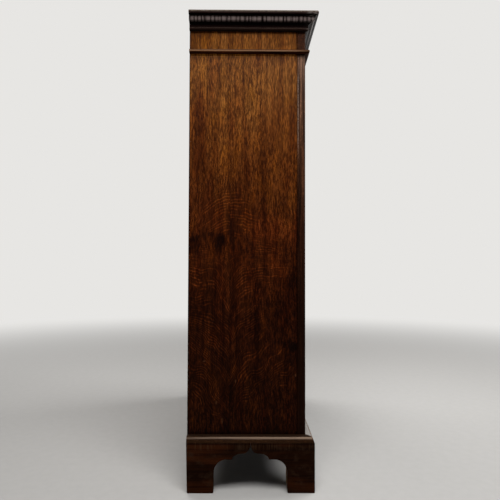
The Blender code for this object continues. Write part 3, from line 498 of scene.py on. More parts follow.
def oak(start, along, age_and_shade=AGE_AND_SHADE, wear_light_and_shade=None, ledge=None, grooved=0.9):
    """Oak whose fibres run along x, y or z; a ledge is its colour, how level it lies, and its gloss."""
    x, y, z = position(start)
    height = z * (1 / HEIGHT)
    board = grain_place(x, y, z, along)
    streak, fibre, pore = grain = fibres(board)
    tone, craze = oak_colour(start, board, grain, height, age_and_shade, grooved)
    tone = rubbed_light_and_shade(tone, start, streak, **(wear_light_and_shade or {}))
    sawn_end = end_grain(start, along)
    tone = tint(sawn_end, tone, 0.26, 0.21, 0.20)
    up = facing(start, "z")
    if ledge:
        cover, level, gloss = ledge
        flat = ease(up, level, level + 0.15)
        tone = blend(flat * 0.8, tone, cover)
        coat = flat * gloss if gloss else 0.0
    else:
        coat = ease(height, 0.55, 0.95) * (1 - sawn_end) * ease(up, -0.3, 0.1) * POLISH
    # On the stiles: a painted highlight line along the edge and a painted shade line in the gap beside it.
    if along == "z":
        reach = strip(z, *HIGHLIGHT_HEIGHT)
        highlight = strip(y, *HIGHLIGHT_LINE) * reach
        tone = blend(highlight * ease(craze, 1.0, 0.2) * 0.5, tone, HIGHLIGHT_OAK)
        tone = tint(strip(y, *SHADE_LINE) * reach * 0.6, tone, 0.4, 0.35, 0.3)
    return {
        "Base Color": tone,
        "Roughness": 0.46 + (streak - 0.5) * 0.25 + pore * 0.15,
        "Specular IOR Level": 0.02,
        "Coat Weight": coat,
        "Coat Roughness": 0.15 if ledge else 0.3,
        "Normal": relief(fibre * 0.5 + streak - pore, 0.0003, 0.6),
    }


UPRIGHT = finish("oak_upright", oak, "z")
WARM_AGE_AND_SHADE = AGE_AND_SHADE[:2] + [(0.55, colour(45, 21, 9)), (0.74, colour(78, 45, 22)), (0.95, colour(98, 62, 35))]
ACROSS = finish("oak_across", oak, "x", WARM_AGE_AND_SHADE, grooved=0.4)

# %% [markdown]
# ## Astragal and base moulding
#
# The astragal is the half-round below the frieze: a painted highlight along its nose and painted shade above and below
# it. The base moulding is rubbed along its upper edge, which also carries a painted highlight; its level face is
# painted pale as lit from above in front and is darker at the ends. Both are the same oak with other ages, wear and
# painted light, so that is all this cell gives.

# %% Oak for the two small mouldings
ASTRAGAL_AGE = [(0.85, colour(72, 44, 24)), (0.95, colour(78, 48, 27))]
# Painted light on the astragal: a highlight along its nose and a red-brown painted shade on its underside.
ASTRAGAL_WEAR_LIGHT_AND_SHADE = {
    "high": colour(112, 82, 57),
    "arris": (-0.50, -0.20, 0.12, 0.32),
    "grime": -0.15,
    "soil": (0.30, 0.12, 0.03),
}
# Painted shade on the astragal's upper face.
SHADED = (colour(44, 24, 9), 0.22, 0.0)
ASTRAGAL_ACROSS = finish("astragal_oak_across", oak, "x", ASTRAGAL_AGE, ASTRAGAL_WEAR_LIGHT_AND_SHADE, SHADED)
ASTRAGAL_ENDWAYS = finish("astragal_oak_endways", oak, "y", ASTRAGAL_AGE, ASTRAGAL_WEAR_LIGHT_AND_SHADE, SHADED)

BASE_AGE = [(0.09, colour(46, 28, 15)), (0.12, colour(50, 31, 17))]
# The rubbed upper edge of the base moulding is also a painted highlight.
BASE_WEAR_AND_HIGHLIGHT = {"arris": (0.46, 0.60, 0.66, 0.77)}
# The front's level face is painted pale as lit from above, under a real coat; the ends' level face is darker.
LIT_LEDGE, DARK_LEDGE = (colour(112, 104, 96), 0.70, 1.0), (colour(28, 18, 11), 0.76, 0.0)
BASE_ACROSS = finish("base_oak_across", oak, "x", BASE_AGE, BASE_WEAR_AND_HIGHLIGHT, LIT_LEDGE)
BASE_ENDWAYS = finish("base_oak_endways", oak, "y", BASE_AGE, BASE_WEAR_AND_HIGHLIGHT, DARK_LEDGE)

# %% [markdown]
# ## The figured side
#
# The end of the cabinet is the board that everyone sees: two quartered planks glued edge to edge. High up, its rays
# are short upright flakes. Lower, they turn into pale stripes. Where each kind shows is a matter of the tree, not
# of a rule, so the striped places are listed as ovals on the board.

# %% Where the board is striped
GLUE_JOINT = 0.0585
FIGURE = [
    ((0.062, 0.690), (0.075, 0.062)),
    ((0.132, 0.545), (0.045, 0.062)),
    ((-0.037, 0.578), (0.050, 0.066)),
    ((0.060, 0.520), (0.060, 0.075)),
    ((0.110, 0.400), (0.080, 0.110)),
    ((0.025, 0.390), (0.065, 0.085)),
    ((0.080, 0.270), (0.090, 0.090)),
    ((-0.040, 0.300), (0.060, 0.060)),
]


def patch(y, z, centre, reach, rim=(1.3, 0.35)):
    """1 in the middle of an oval on the board, 0 outside it."""
    off = ((y - centre[0]) / reach[0]) ** 2 + ((z - centre[1]) / reach[1]) ** 2
    return ease(off, *rim)


def figured(y, z):
    """1 where the board shows stripes, 0 where it shows upright flakes."""
    shown = patch(y, z, *FIGURE[0])
    for centre, reach in FIGURE[1:]:
        shown = shown.maths("MAXIMUM", shown, patch(y, z, centre, reach))
    return shown


print(len(FIGURE), "striped places; two planks meet at y =", GLUE_JOINT)

# %% [markdown]
# ## Stripes of the rays
#
# The stripes arch over the glue joint and lie level or slant beside it. A stripe repeats fast in one direction and
# slowly along the other, so it is enough to bend that direction: the height plus a parabola in the distance from the
# joint gives arches, and less of the distance gives a V. Noise breaks the stripes and makes them ripple.

# %% Bent stripes
STRIPES_TO_METRE = 126
JOINT_REACH = 0.032


def ray_stripes(y, z, across, length, through, wander):
    """Pale stripes a few millimetres apart: an arch over the joint, and a V in it below."""
    off = y - GLUE_JOINT
    aside = off.maths("ABSOLUTE", off)
    near = aside.maths("TANH", aside / JOINT_REACH) * JOINT_REACH
    arch = off * off * (2.4 + 6.0 * off.maths("GREATER_THAN", off, 0.0)) * ease(z, 0.58, 0.68)
    fold = arch - near * ease(z, 0.60, 0.55) * 1.9 - (aside - near) * ease(z, 0.45, 0.35) * 0.8
    slant = noise(through * 9, across * 17, length * 13, 1) - 0.5
    ripple = noise(through * 9, across * 70, length * 45, 1) - 0.5
    level = z + fold + slant * (0.02 + 0.05 * ease(z, 0.58, 0.44)) + ripple * 0.007 + wander * 0.02
    turn = level.maths("PINGPONG", level * STRIPES_TO_METRE, 0.5)
    broken = noise(through * 9, across * 34, level * 75, 2)
    return ease(turn, 0.24, 0.46) * ease(broken, 0.43, 0.57)


print("a stripe every", round(1000 / STRIPES_TO_METRE, 1), "mm")

# %% [markdown]
# ## Flakes
#
# Above the stripes the rays end in short upright dashes, and the frieze and one smooth place have thin straight lines
# instead. Both are noise drawn out along the fibres. Low down, where the polish is dark, the dashes stand out more.

# %% Upright flakes
SMOOTH_PLACE = ((-0.075, 0.985), (0.050, 0.150))
FRIEZE_FOOT = (1.085, 1.105)


def straightness(y, z):
    """1 where the lines run straight, 0 where they waver."""
    smooth = patch(y, z, *SMOOTH_PLACE)
    return smooth.maths("MAXIMUM", smooth * 0.7, ease(z, *FRIEZE_FOOT))


def flakes(sway, across, length, through, straight, deep):
    """Wavering dashes and straight lines, above 0.5 pale and below it dark."""
    dash = noise(through * 30, sway * 310, length * 56, 2, 0.85)
    line = noise(through * 30, across * 380, length * 60, 1, 0.8)
    both = dash * (1 - straight) + line * straight + (line - 0.5) * (1 - straight) * (0.55 - deep * 0.4)
    return (both - 0.5) * (1.22 + deep * 0.38) + 0.5


print("lines run straight from", FRIEZE_FOOT[1], "m up")

# %% [markdown]
# ## Stains, painted glints and chips
#
# An old board has a knot that bled, spills that soaked in and small chips of bare wood, and a few pale places are
# painted glints of light. They are few, so each is an oval of its own. Noise shifts the stains, because a spill has no
# clean rim.

# %% What the years left
STAINS = [
    ((0.086, 0.615), (0.013, 0.022), 0.92),
    ((0.150, 0.612), (0.013, 0.026), 0.75),
    ((0.118, 0.632), (0.036, 0.008), 0.4),
    ((-0.100, 0.361), (0.020, 0.010), 0.8),
    ((0.051, 0.235), (0.005, 0.040), 0.6),
    ((0.052, 0.640), (0.010, 0.070), 0.45),
    ((-0.098, 0.522), (0.016, 0.022), 0.55),
    ((0.135, 0.435), (0.030, 0.050), 0.3),
]
# Painted light: pale glints on the board.
PAINTED_GLINTS = [
    ((-0.048, 0.652), (0.066, 0.034), 0.6),
    ((-0.069, 0.548), (0.030, 0.020), 0.5),
    ((0.026, 0.472), (0.050, 0.040), 0.3),
]
CHIPS = [
    ((0.043, 0.268), (0.0016, 0.0050)),
    ((0.091, 0.215), (0.0018, 0.0050)),
    ((0.076, 0.170), (0.0014, 0.0080)),
    ((-0.108, 0.283), (0.0024, 0.0040)),
    ((0.122, 0.318), (0.0040, 0.0018)),
]
SOAKED_RIM = (2.4, 0.0)
BARE_OAK = colour(92, 58, 38)


def marks(tone, y, z, spread_y, spread_z):
    for centre, reach, strength in STAINS:
        soaked = patch(spread_y, spread_z, centre, reach, SOAKED_RIM)
        tone = tint(soaked * strength, tone, 0.10, 0.08, 0.08)
    # Painted light: the glints lighten the board.
    for centre, reach, strength in PAINTED_GLINTS:
        tone = tint(patch(y, z, centre, reach) * strength, tone, 1.9, 1.95, 1.9)
    for centre, reach in CHIPS:
        tone = blend(patch(y, z, centre, reach) * 0.4, tone, BARE_OAK)
    return tone


print(len(STAINS), "stains,", len(PAINTED_GLINTS), "faded places,", len(CHIPS), "chips")

# %% [markdown]
# ## Edges of the side
#
# The back edge gets a dark strip, and shade is painted dark in the gap beside the stile, in the corner above the base
# moulding and at the end of the frieze. The glue joint has opened to a hair crack in places. Right under the astragal
# the board is painted paler, a painted light that thins the astragal's cast shadow. All of these are narrow strips at
# known places of the board.

# %% Crack and painted shade
# Strips of painted shade, and a dark strip at the back edge.
BACK_EDGE, STILE_EDGE, BASE_EDGE = (0.1595, 0.1620), (-0.1080, -0.1112), (0.150, 0.138)
FRIEZE_END, FRIEZE_RISE = (-0.088, -0.111), (1.09, 1.10)
# Painted light: a paler strip under the astragal thins its cast shadow.
LIT_UNDER_ASTRAGAL = (1.0895, 1.0960, 1.0990, 1.1020)


def joint_crack(y, cloud):
    """1 in the open lengths of the glue joint."""
    off = y - GLUE_JOINT
    return ease(off.maths("ABSOLUTE", off), 0.0014, 0.0005) * ease(cloud, 0.62, 0.40)


# Painted shade beside the stile, above the base moulding and at the frieze's end, and a dark strip at the back edge.
def shaded_edges(y, z, band):
    edge = ease(y, *BACK_EDGE) + ease(y, *STILE_EDGE) * 0.8 + ease(z, *BASE_EDGE)
    return edge + ease(y, *FRIEZE_END) * ease(z, *FRIEZE_RISE) * (0.5 + ease(band, 0.62, 0.38) * 0.5)


print("grime within", round(1000 * (BASE_EDGE[0] - BASE_EDGE[1])), "mm of the base moulding")

# %% [markdown]
# ## Quartered oak
#
# Now the side comes together in the order in which it came about: the wood's own colour with its broad bands, darker
# towards the floor partly as painted shade, then flakes, pores and stripes, then uneven polish, and last the marks, a
# painted light under the astragal and painted shade at the edges. Each plank has its own grain, so the noise jumps
# sideways at the glue joint.

# %% Quartered oak for the two ends
# Darker towards the floor and at the very top under the cornice: partly the board's colour, partly painted shade.
SIDE_AGE_AND_SHADE = [
    (0.14, colour(33, 12, 3)),
    (0.38, colour(38, 14, 4)),
    (0.56, colour(61, 26, 7)),
    (0.74, colour(93, 50, 16)),
    (0.88, colour(108, 66, 26)),
    (1.00, colour(82, 44, 5)),
]
JOINT_SHADE = ((GLUE_JOINT, 0.69), (0.030, 0.085))


def quartered_oak(start):
    x, y, z = position(start)
    height = z * (1 / HEIGHT)
    plank = y.maths("LESS_THAN", y, GLUE_JOINT)
    across, length, through = y + plank * 0.37, z + plank * 0.53, x * 0.35
    wander = noise(through * 8, across * 18, length * 12, 2) - 0.5
    wobble = noise(through * 30, across * 70, length * 95, 2) - 0.5
    sway = across + wander * 0.014 + wobble * 0.006
    streak, fibre, pore = fibres((sway, through, length))
    band = noise(through * 6, across * 75, length * 2.6, 3, 0.6)
    cloud = noise(through * 4, across * 20, length * 5, 4, 0.6)
    hue = noise(through * 5 + 3.0, across * 30, length * 9, 3)
    mottle = noise(through * 9, across * 34, length * 22, 3, 0.6)
    shown, straight, deep = figured(y, z), straightness(y, z), ease(z, 0.80, 0.35)
    stripe = ray_stripes(y, z, across, length, through, wander) * (shown * 0.85 + 0.15) * ease(z, 0.88, 0.76)
    dash = flakes(sway, across, length, through, straight, deep)
    plain = (1 - shown * 0.35) * (1 - straight * 0.3)

    # The ramp over the height, partly painted shade.
    tone = start.node("ShaderNodeValToRGB", {"stops": SIDE_AGE_AND_SHADE}, {0: height + (cloud - 0.5) * 0.40})
    tone = tint(ease(hue, 0.50, 0.68) * 0.6, tone, 0.95, 0.76, 0.64)
    tone = tint(ease(hue, 0.48, 0.32) * 0.9, tone, 1.28, 1.27, 0.90)
    tone = tint(ease(band, 0.58, 0.36) * 0.75, tone, 0.48, 0.40, 0.34)
    tone = tint(ease(dash, 0.54, 0.36) * plain * 0.85, tone, 0.38, 0.30, 0.22)
    tone = tint(ease(streak, 0.62, 0.38) * 0.4, tone, 0.45, 0.36, 0.28)
    tone = tint(pore * 0.5, tone, 0.3, 0.22, 0.2)
    tone = tint(ease(dash, 0.52, 0.66) * plain * (0.6 + deep * 0.4), tone, 2.1, 2.05, 2.0)
    tone = tint(stripe * (0.54 + deep * 0.36), tone, 3.35, 3.4, 3.2)
    tone = tint(ease(mottle, 0.50, 0.66) * deep * 0.8, tone, 1.55, 1.48, 1.3)
    tone = tint(ease(mottle, 0.50, 0.34) * deep * 0.8, tone, 0.62, 0.60, 0.62)
    tone = tint(plank * patch(y, z, *JOINT_SHADE) * 0.55, tone, 0.42, 0.36, 0.40)
    tone = marks(tone, y, z, y + (mottle - 0.5) * 0.05, z + (hue - 0.5) * 0.07 + wobble * 0.02)
    # Painted light: the strip right under the astragal is lightened against the astragal's cast shadow.
    tone = tint(strip(z, *LIT_UNDER_ASTRAGAL), tone, 2.8, 3.0, 3.4)
    crack = joint_crack(y, cloud)
    # Darker: the crack in the glue joint, and painted shade at the edges.
    tone = tint(crack * 0.6 + shaded_edges(y, z, band) * 0.6, tone, 0.2, 0.15, 0.12)
    return {
        "Base Color": tone,
        "Roughness": 0.44 + (streak - 0.5) * 0.2 + pore * 0.12 - stripe * 0.08,
        "Specular IOR Level": 0.02,
        "Coat Weight": ease(height, 0.62, 0.95) * ease(z, 1.115, 1.095) * 0.06,
        "Coat Roughness": 0.3,
        "Normal": relief(fibre * 0.5 + streak - pore - crack * 2, 0.0003, 0.6),
    }


QUARTERED = finish("quartered_oak", quartered_oak)

# %% [markdown]
# ## Wear and painted sheen of the cornice, and wear of the feet
#
# The cornice's ovolo carries a pale grey painted sheen, broken into streaks by scratches across it, where cloths have
# been pulled over it. Its cap and its bead carry a painted highlight. The feet are scuffed and mottled, with a dark
# seam under the base moulding. A scratch about every centimetre is too regular for noise alone, so a zigzag sets the
# beat and noise shifts it.

# %% Scratches, painted sheen and scuffs
OVOLO = (1.1754, 1.1774, 1.1860, 1.1880)
BEAD = (1.1490, 1.1515, 1.1590, 1.1620)
CAP_RISE = (1.1933, 1.1957)
SCRATCHES_TO_METRE = 94
# Painted light: the grey sheen of the ovolo, a lighter bead and a grey highlight on the cap.
SCRATCHED_SHEEN, BEAD_HIGHLIGHT, CAP_HIGHLIGHT = colour(118, 104, 101), colour(34, 22, 16), colour(78, 68, 58)
FOOT_RISE, SEAM = (0.20, 0.16), (0.1150, 0.1185)
SCUFFED, MOTTLED = colour(84, 62, 44), colour(50, 34, 24)


def cornice_wear_and_sheen(tone, length, z, rub):
    beat = length * SCRATCHES_TO_METRE + noise(length * 60, z * 14, 1.7, 1) * 1.6
    scratch = beat.maths("PINGPONG", beat, 0.5) + noise(length * 400, z * 14, 1.7, 1, 0.4) * 0.5
    # Painted light: a grey sheen in scratched streaks on the ovolo, a lighter bead and a highlight along the cap.
    tone = blend(strip(z, *OVOLO) * ease(scratch, 0.18, 0.68) * 0.9, tone, SCRATCHED_SHEEN)
    tone = blend(strip(z, *BEAD) * 0.5, tone, BEAD_HIGHLIGHT)
    return blend(ease(z, *CAP_RISE) * ease(rub, 0.25, 0.60) * 0.75, tone, CAP_HIGHLIGHT)


def foot_wear(tone, board, z):
    low_down = ease(z, *FOOT_RISE)
    scuff = ease(noise(board[2] * 260, z * 16, 4.1, 1), 0.48, 0.66) * ease(z, 0.098, 0.116)
    mottle = clouds(board, 60, 45, 3, 0.6)
    tone = blend(scuff * low_down * 0.2, tone, SCUFFED)
    tone = blend(ease(mottle, 0.48, 0.70) * low_down * 0.4, tone, MOTTLED)
    return tint(ease(z, *SEAM) * low_down * 0.5, tone, 0.2, 0.16, 0.16)


print("a scratch every", round(1000 / SCRATCHES_TO_METRE, 1), "mm on the ovolo")

# %% [markdown]
# ## Dark polished oak
#
# The cornice and the bracket feet are darker than the rest: stained when new, then waxed for years. Wax rubs thin on
# the edges, which also carry a painted highlight, and what faces down is darkened with painted shade. Where two
# lengths meet at a mitre, the ends carry a painted grey reflection in streaks. The same function dresses the runs
# along the front and those along the ends.

# %% Stained and waxed oak
STAIN = [
    (0.02, colour(28, 11, 3)),
    (0.11, colour(25, 9, 2)),
    (0.90, colour(22, 7, 5)),
    (1.00, colour(26, 11, 8)),
]
# A painted grey reflection for the mitre ends, and pale edge colours that are also a painted highlight.
REDDENED, MITRE_REFLECTION = colour(72, 34, 14), colour(112, 106, 102)
WAX_AND_SHEEN_LOW, WAX_AND_SHEEN_HIGH = colour(84, 66, 52), colour(84, 68, 58)
MITRE_ENDWAYS, MITRE_ACROSS = (-0.126, -0.150), (0.443, 0.467)


def stained_oak(start, along):
    x, y, z = position(start)
    board = grain_place(x, y, z, along)
    streak, fibre, pore = fibres(board)
    length = board[2]
    rub = noise(length * 150, z * 25, 0.0, 3, 0.65)
    comb = noise(length * 390, z * 25, 0.0, 2, 0.55)
    cloud = clouds(board, 30, 9)
    tone = start.node("ShaderNodeValToRGB", {"stops": STAIN}, {0: z * (1 / HEIGHT)})
    warm = ease(cloud + length * ease(z, 0.05, 0.09) * 1.2, 0.45, 0.7)
    tone = blend(warm * ease(z, 0.2, 0.1) * 0.35, tone, REDDENED)
    tone = tint(ease(streak, 0.58, 0.40) * 0.7, tone, 0.4, 0.33, 0.3)
    tone = tint(pore * 0.5, tone, 0.3, 0.25, 0.22)
    # Rubbed edges with a painted highlight, and painted shade on what faces down.
    tone = rubbed_light_and_shade(tone, start, comb, 0.55, WAX_AND_SHEEN_LOW, WAX_AND_SHEEN_HIGH)
    tone = cornice_wear_and_sheen(tone, length, z, rub)
    high_up = ease(z, 1.15, 1.16)
    if along == "y":
        mitre, sheen_streaks, coat = ease(y, *MITRE_ENDWAYS), clouds(board, 420, 60), 0.0
    else:
        mitre, sheen_streaks = ease(x.maths("ABSOLUTE", x), *MITRE_ACROSS), clouds(board, 420, 6)
        coat = ease(facing(start, "z"), 0.15, -0.2) * high_up * ease(sheen_streaks, 0.44, 0.58) * 0.6
    # Painted light: a grey reflection in streaks at the mitres.
    tone = blend(mitre * high_up * ease(sheen_streaks, 0.45, 0.62) * 0.6, tone, MITRE_REFLECTION)
    tone = foot_wear(tone, board, z)
    return {
        "Base Color": tone,
        "Roughness": 0.36 + (rub - 0.5) * 0.35,
        "Specular IOR Level": 0.015,
        "Coat Weight": coat,
        "Coat Roughness": 0.2,
        "Normal": relief(fibre * 0.5 + streak - pore, 0.00025, 0.5),
    }


DARK_ACROSS = finish("stained_oak_across", stained_oak, "x")
DARK_ENDWAYS = finish("stained_oak_endways", stained_oak, "y")

# %% [markdown]
# ## Sawn pine
#
# The back and the blocks inside the feet are sawn pine that nobody polished: pale early wood between orange lines of
# late wood, a few knots, saw marks and a grey film of dust. The boards look alike, so one finish serves them all and
# shifts its noise from board to board.

# %% Pine of the back
BOARD_WIDE, HALF_INSIDE = 0.2982, 0.4397
EARLY_WOOD, LATE_WOOD = colour(132, 97, 62), colour(92, 59, 32)
KNOT, DUST = colour(52, 28, 15), colour(84, 68, 52)


def sawn_pine(start):
    x, y, z = position(start)
    number = x.maths("FLOOR", (x + HALF_INSIDE) / BOARD_WIDE)
    across, length = x + number * 0.171, z + number * 0.47
    board = (across, y, length)
    bend = clouds(board, 5, 1.3)
    ring = noise((across + bend * 0.05) * 170, y * 30, length * 0.9, 2)
    late = ease(ring, 0.44, 0.68)
    saw_mark = noise(across * 4, y * 4, (length + across * 0.12) * 330, 1)
    dust = clouds(board, 12, 7, 4)
    knot_at = start.node("ShaderNodeCombineXYZ", None, {0: across * 9, 1: 0.0, 2: length * 3.4})
    knot = start.node("ShaderNodeTexVoronoi", None, {"Vector": knot_at, "Scale": 1.0, "Randomness": 1.0})
    tone = blend(late * 0.7, EARLY_WOOD, LATE_WOOD)
    tone = blend(ease(knot, 0.11, 0.05) * 0.7, tone, KNOT)
    tone = blend(ease(dust, 0.36, 0.72) * 0.65, tone, DUST)
    return {
        "Base Color": tone,
        "Roughness": 0.78 - late * 0.1 + (dust - 0.5) * 0.2,
        "Specular IOR Level": 0.2,
        "Normal": relief(saw_mark * 0.6 + late * 0.5, 0.0004, 0.7),
    }


PINE = finish("sawn_pine", sawn_pine)

# %% [markdown]
# ## End grain of the pegs
#
# A peg shows only its end, a few millimetres across: dark rings and open pores. The oak above would show hardly one
# streak at that size, so the pegs have a finer finish of their own. It darkens towards the floor as the oak does,
# partly as painted shade.

# %% End grain
PEG_LOW, PEG_HIGH = colour(22, 9, 4), colour(66, 40, 24)


def peg_end(start):
    place = position(start)
    ring = clouds(place, 900, 420)
    pore = ease(clouds(place, 3200, 3200, 1), 0.56, 0.68)
    tone = blend(place[2] * (1 / HEIGHT), PEG_LOW, PEG_HIGH)
    tone = tint(ease(ring, 0.4, 0.62) * 0.5, tone, 0.45, 0.4, 0.35)
    tone = tint(pore * 0.6, tone, 0.2, 0.16, 0.14)
    return {
        "Base Color": tone,
        "Roughness": 0.5 + pore * 0.2,
        "Specular IOR Level": 0.06,
        "Normal": relief(ring - pore, 0.0002, 0.6),
    }


ENDGRAIN = finish("peg_end_grain", peg_end)

# %% [markdown]
# ## Brass
#
# Hinges, lock, bolts and key are cast brass that has gone brown where nothing touches it and stays bright where keys
# and fingers rub. One noise gives the tarnish, which dulls colour, metal and gloss together, and a finer one gives
# the small scratches.

# %% Aged brass
BRIGHT_BRASS, BROWN_BRASS = colour(128, 98, 54), colour(66, 46, 26)


def aged_brass(start):
    place = position(start)
    brown = clouds(place, 160, 160, 4, 0.6)
    rub = clouds(place, 900, 260)
    tarnish = ease(brown, 0.42, 0.66)
    return {
        "Base Color": blend(tarnish, BRIGHT_BRASS, BROWN_BRASS),
        "Metallic": 1.0 - tarnish * 0.25,
        "Roughness": 0.26 + tarnish * 0.24 + (rub - 0.5) * 0.12,
        "Normal": relief(rub + brown, 0.0001, 0.35),
    }


BRASS = finish("aged_brass", aged_brass)

# %% [markdown]
# ## Old glass
#
# The panes are drawn glass, a little green, not quite flat and smeared in places. Glass that bends every ray would
# also gather the lamps' light into bright spots on the shelves. So rays that only carry light, and reflections, pass
# a pane as if it were open and take its tint.

# %% Drawn glass
PANE_TINT = (0.93, 0.965, 0.945, 1)
LIGHT_RAYS = ("Shadow", "Diffuse", "Glossy")


def drawn_glass(start):
    place = position(start)
    wave = clouds(place, 14, 5)
    smear = clouds(place, 30, 22, 3)
    return {
        "Base Color": PANE_TINT,
        "Roughness": 0.03 + ease(smear, 0.55, 0.75) * 0.05,
        "IOR": 1.46,
        "Specular IOR Level": 0.15,
        "Transmission Weight": 1.0,
        "Normal": relief(wave, 0.001, 0.25),
    }


GLASS = finish("drawn_glass", drawn_glass)
wire = Wire(GLASS.node_tree)
open_pane = wire.node("ShaderNodeBsdfTransparent", None, {"Color": PANE_TINT})
show_over(GLASS, any_ray(wire, LIGHT_RAYS), open_pane)

# %% [markdown]
# ## Iron
#
# The nails of the back are wrought iron, black from the forge with rust in the pits. One noise does both, since the
# rust sits where the scale has broken away.

# %% Wrought iron
FORGED, RUSTED = colour(44, 40, 38), colour(92, 52, 30)


def wrought_iron(start):
    scale = clouds(position(start), 700, 700, 3, 0.6)
    rust = ease(scale, 0.45, 0.7)
    return {
        "Base Color": blend(rust, FORGED, RUSTED),
        "Metallic": 0.8 - rust * 0.6,
        "Roughness": 0.55 + rust * 0.3,
        "Normal": relief(scale, 0.0003, 0.6),
    }


IRON = finish("wrought_iron", wrought_iron)

# %% [markdown]
# ## A finish for every solid
#
# A board's fibres run along its length, so the finish follows from what the solid is: stiles stand, rails and shelves
# lie along the front, and the returns of the mouldings run from front to back. The solids are named for what they
# are, so the first of these words that a name holds chooses its finish. Whatever holds none lies along the front.

# %% Dress the solids
FINISHES = {
    "side_bracket": DARK_ENDWAYS,
    "front_bracket": DARK_ACROSS,
    "cornice_front": DARK_ACROSS,
    "cornice": DARK_ENDWAYS,
    "base_moulding_front": BASE_ACROSS,
    "base_moulding": BASE_ENDWAYS,
    "astragal_front": ASTRAGAL_ACROSS,
    "astragal": ASTRAGAL_ENDWAYS,
    "side": QUARTERED,
    "back_board": PINE,
    "foot_block": PINE,
    "glass": GLASS,
    "stile": UPRIGHT,
    "glazing": UPRIGHT,
    "hinge": BRASS,
    "bolt": BRASS,
    "lock": BRASS,
    "key": BRASS,
}
dressed = {}
for name, solid in nodes.items():
    material = next((FINISHES[word] for word in FINISHES if word in name), ACROSS)
    solid.data.materials.clear()
    solid.data.materials.append(material)
    dressed[material.name] = dressed.get(material.name, 0) + 1
print("solids to a finish:", dressed)

# %% [markdown]
# ## Heads of pegs, screws and nails
#
# The joints are held by oak pegs, the brass by slotted screws and the back by nails. All that shows of them is a head.
# A screw's is a low cone with a slot sawn across it, a nail's has four hammered facets, and a peg's is a many-sided
# end, rubbed round. Each is a few nodes of a tree, so its size stays an input.

# %% Three kinds of head


def cone(wire, sides, top, radius, proud, rings=1):
    sizes = {"Vertices": sides, "Side Segments": rings, "Radius Top": radius * top, "Radius Bottom": radius}
    return wire.node("GeometryNodeMeshCone", None, {**sizes, "Depth": proud})


def screw_head(wire, radius, proud):
    size = wire.node("ShaderNodeCombineXYZ", None, {0: radius * 2.4, 1: radius * 0.24, 2: proud})
    lift = wire.node("ShaderNodeCombineXYZ", None, {2: proud})
    saw = wire.node("GeometryNodeMeshCube", None, {"Size": size})
    saw = wire.node("GeometryNodeTransform", None, {"Geometry": saw, "Translation": lift})
    blank = cone(wire, 20, 0.86, radius, proud)
    return wire.node("GeometryNodeMeshBoolean", {"operation": "DIFFERENCE"}, {0: blank, 1: saw})


def nail_head(wire, radius, proud):
    return cone(wire, 4, 0.30, radius, proud)


def peg_head(wire, radius, proud):
    return cone(wire, 9, 0.72, radius, proud, rings=2)


print("heads: screw, nail and peg")

# %% [markdown]
# ## A head on every point
#
# There are more than a hundred heads, so Geometry Nodes put one on each point of a bare mesh. A point carries the
# direction that it faces, and a seeded random turn keeps the slots from lining up. The tree ends by making the copies
# real and giving them their finish.

# %% The tree
INPUTS = {
    "Points": "NodeSocketGeometry",
    "Radius": "NodeSocketFloat",
    "Proud": "NodeSocketFloat",
    "Seed": "NodeSocketInt",
    "Finish": "NodeSocketMaterial",
}


def heads_tree(name, head):
    tree = bpy.data.node_groups.new(name, "GeometryNodeTree")
    for label, kind in INPUTS.items():
        tree.interface.new_socket(label, in_out="INPUT", socket_type=kind)
    tree.interface.new_socket("Heads", in_out="OUTPUT", socket_type="NodeSocketGeometry")
    wire = Wire(tree)
    given = {o.name: Wire(tree, o) for o in wire.node("NodeGroupInput").socket.node.outputs}
    facing_way = wire.node("GeometryNodeInputNamedAttribute", {"data_type": "FLOAT_VECTOR"}, {"Name": "facing"})
    upright = wire.node("FunctionNodeAlignRotationToVector", {"axis": "Z"}, {"Vector": facing_way})
    angle = wire.node("FunctionNodeRandomValue", None, {2: 0.0, 3: 2 * math.pi, "Seed": given["Seed"]}, out=1)
    twist = wire.node("FunctionNodeAxisAngleToRotation", None, {"Axis": (0, 0, 1), "Angle": angle})
    turned = wire.node("FunctionNodeRotateRotation", {"rotation_space": "LOCAL"}, {0: upright, 1: twist})
    shape = head(wire, given["Radius"], given["Proud"])
    sockets = {"Points": given["Points"], "Instance": shape, "Rotation": turned}
    heads = wire.node("GeometryNodeInstanceOnPoints", None, sockets)
    heads = wire.node("GeometryNodeRealizeInstances", None, {0: heads})
    heads = wire.node("GeometryNodeSetMaterial", None, {"Geometry": heads, "Material": given["Finish"]})
    wire.node("NodeGroupOutput", None, {0: heads})
    print(name, "tree has", len(tree.nodes), "nodes")
    return tree


SCREWS = heads_tree("slotted_screws", screw_head)
NAILS = heads_tree("nails", nail_head)
PEGS = heads_tree("pegs", peg_head)

# %% [markdown]
# ## Pegs of the doors and the frame
#
# A pegged joint needs no glue: two pegs go through each mortise and tenon, and their ends stand a little proud once
# the wood has shrunk. The boxes of the solids say where each rail meets its stile, so the pegs stay right if a size
# changes. Every group of heads becomes one plain mesh that rides on its body.

# %% Drive heads in
FRONT, REAR = (0, -1, 0), (0, 1, 0)


def plain_mesh(made):
    """What an object's nodes or curve come to; the object itself goes."""
    mesh = bpy.data.meshes.new_from_object(made.evaluated_get(bpy.context.evaluated_depsgraph_get()))
    bpy.data.objects.remove(made)
    return mesh


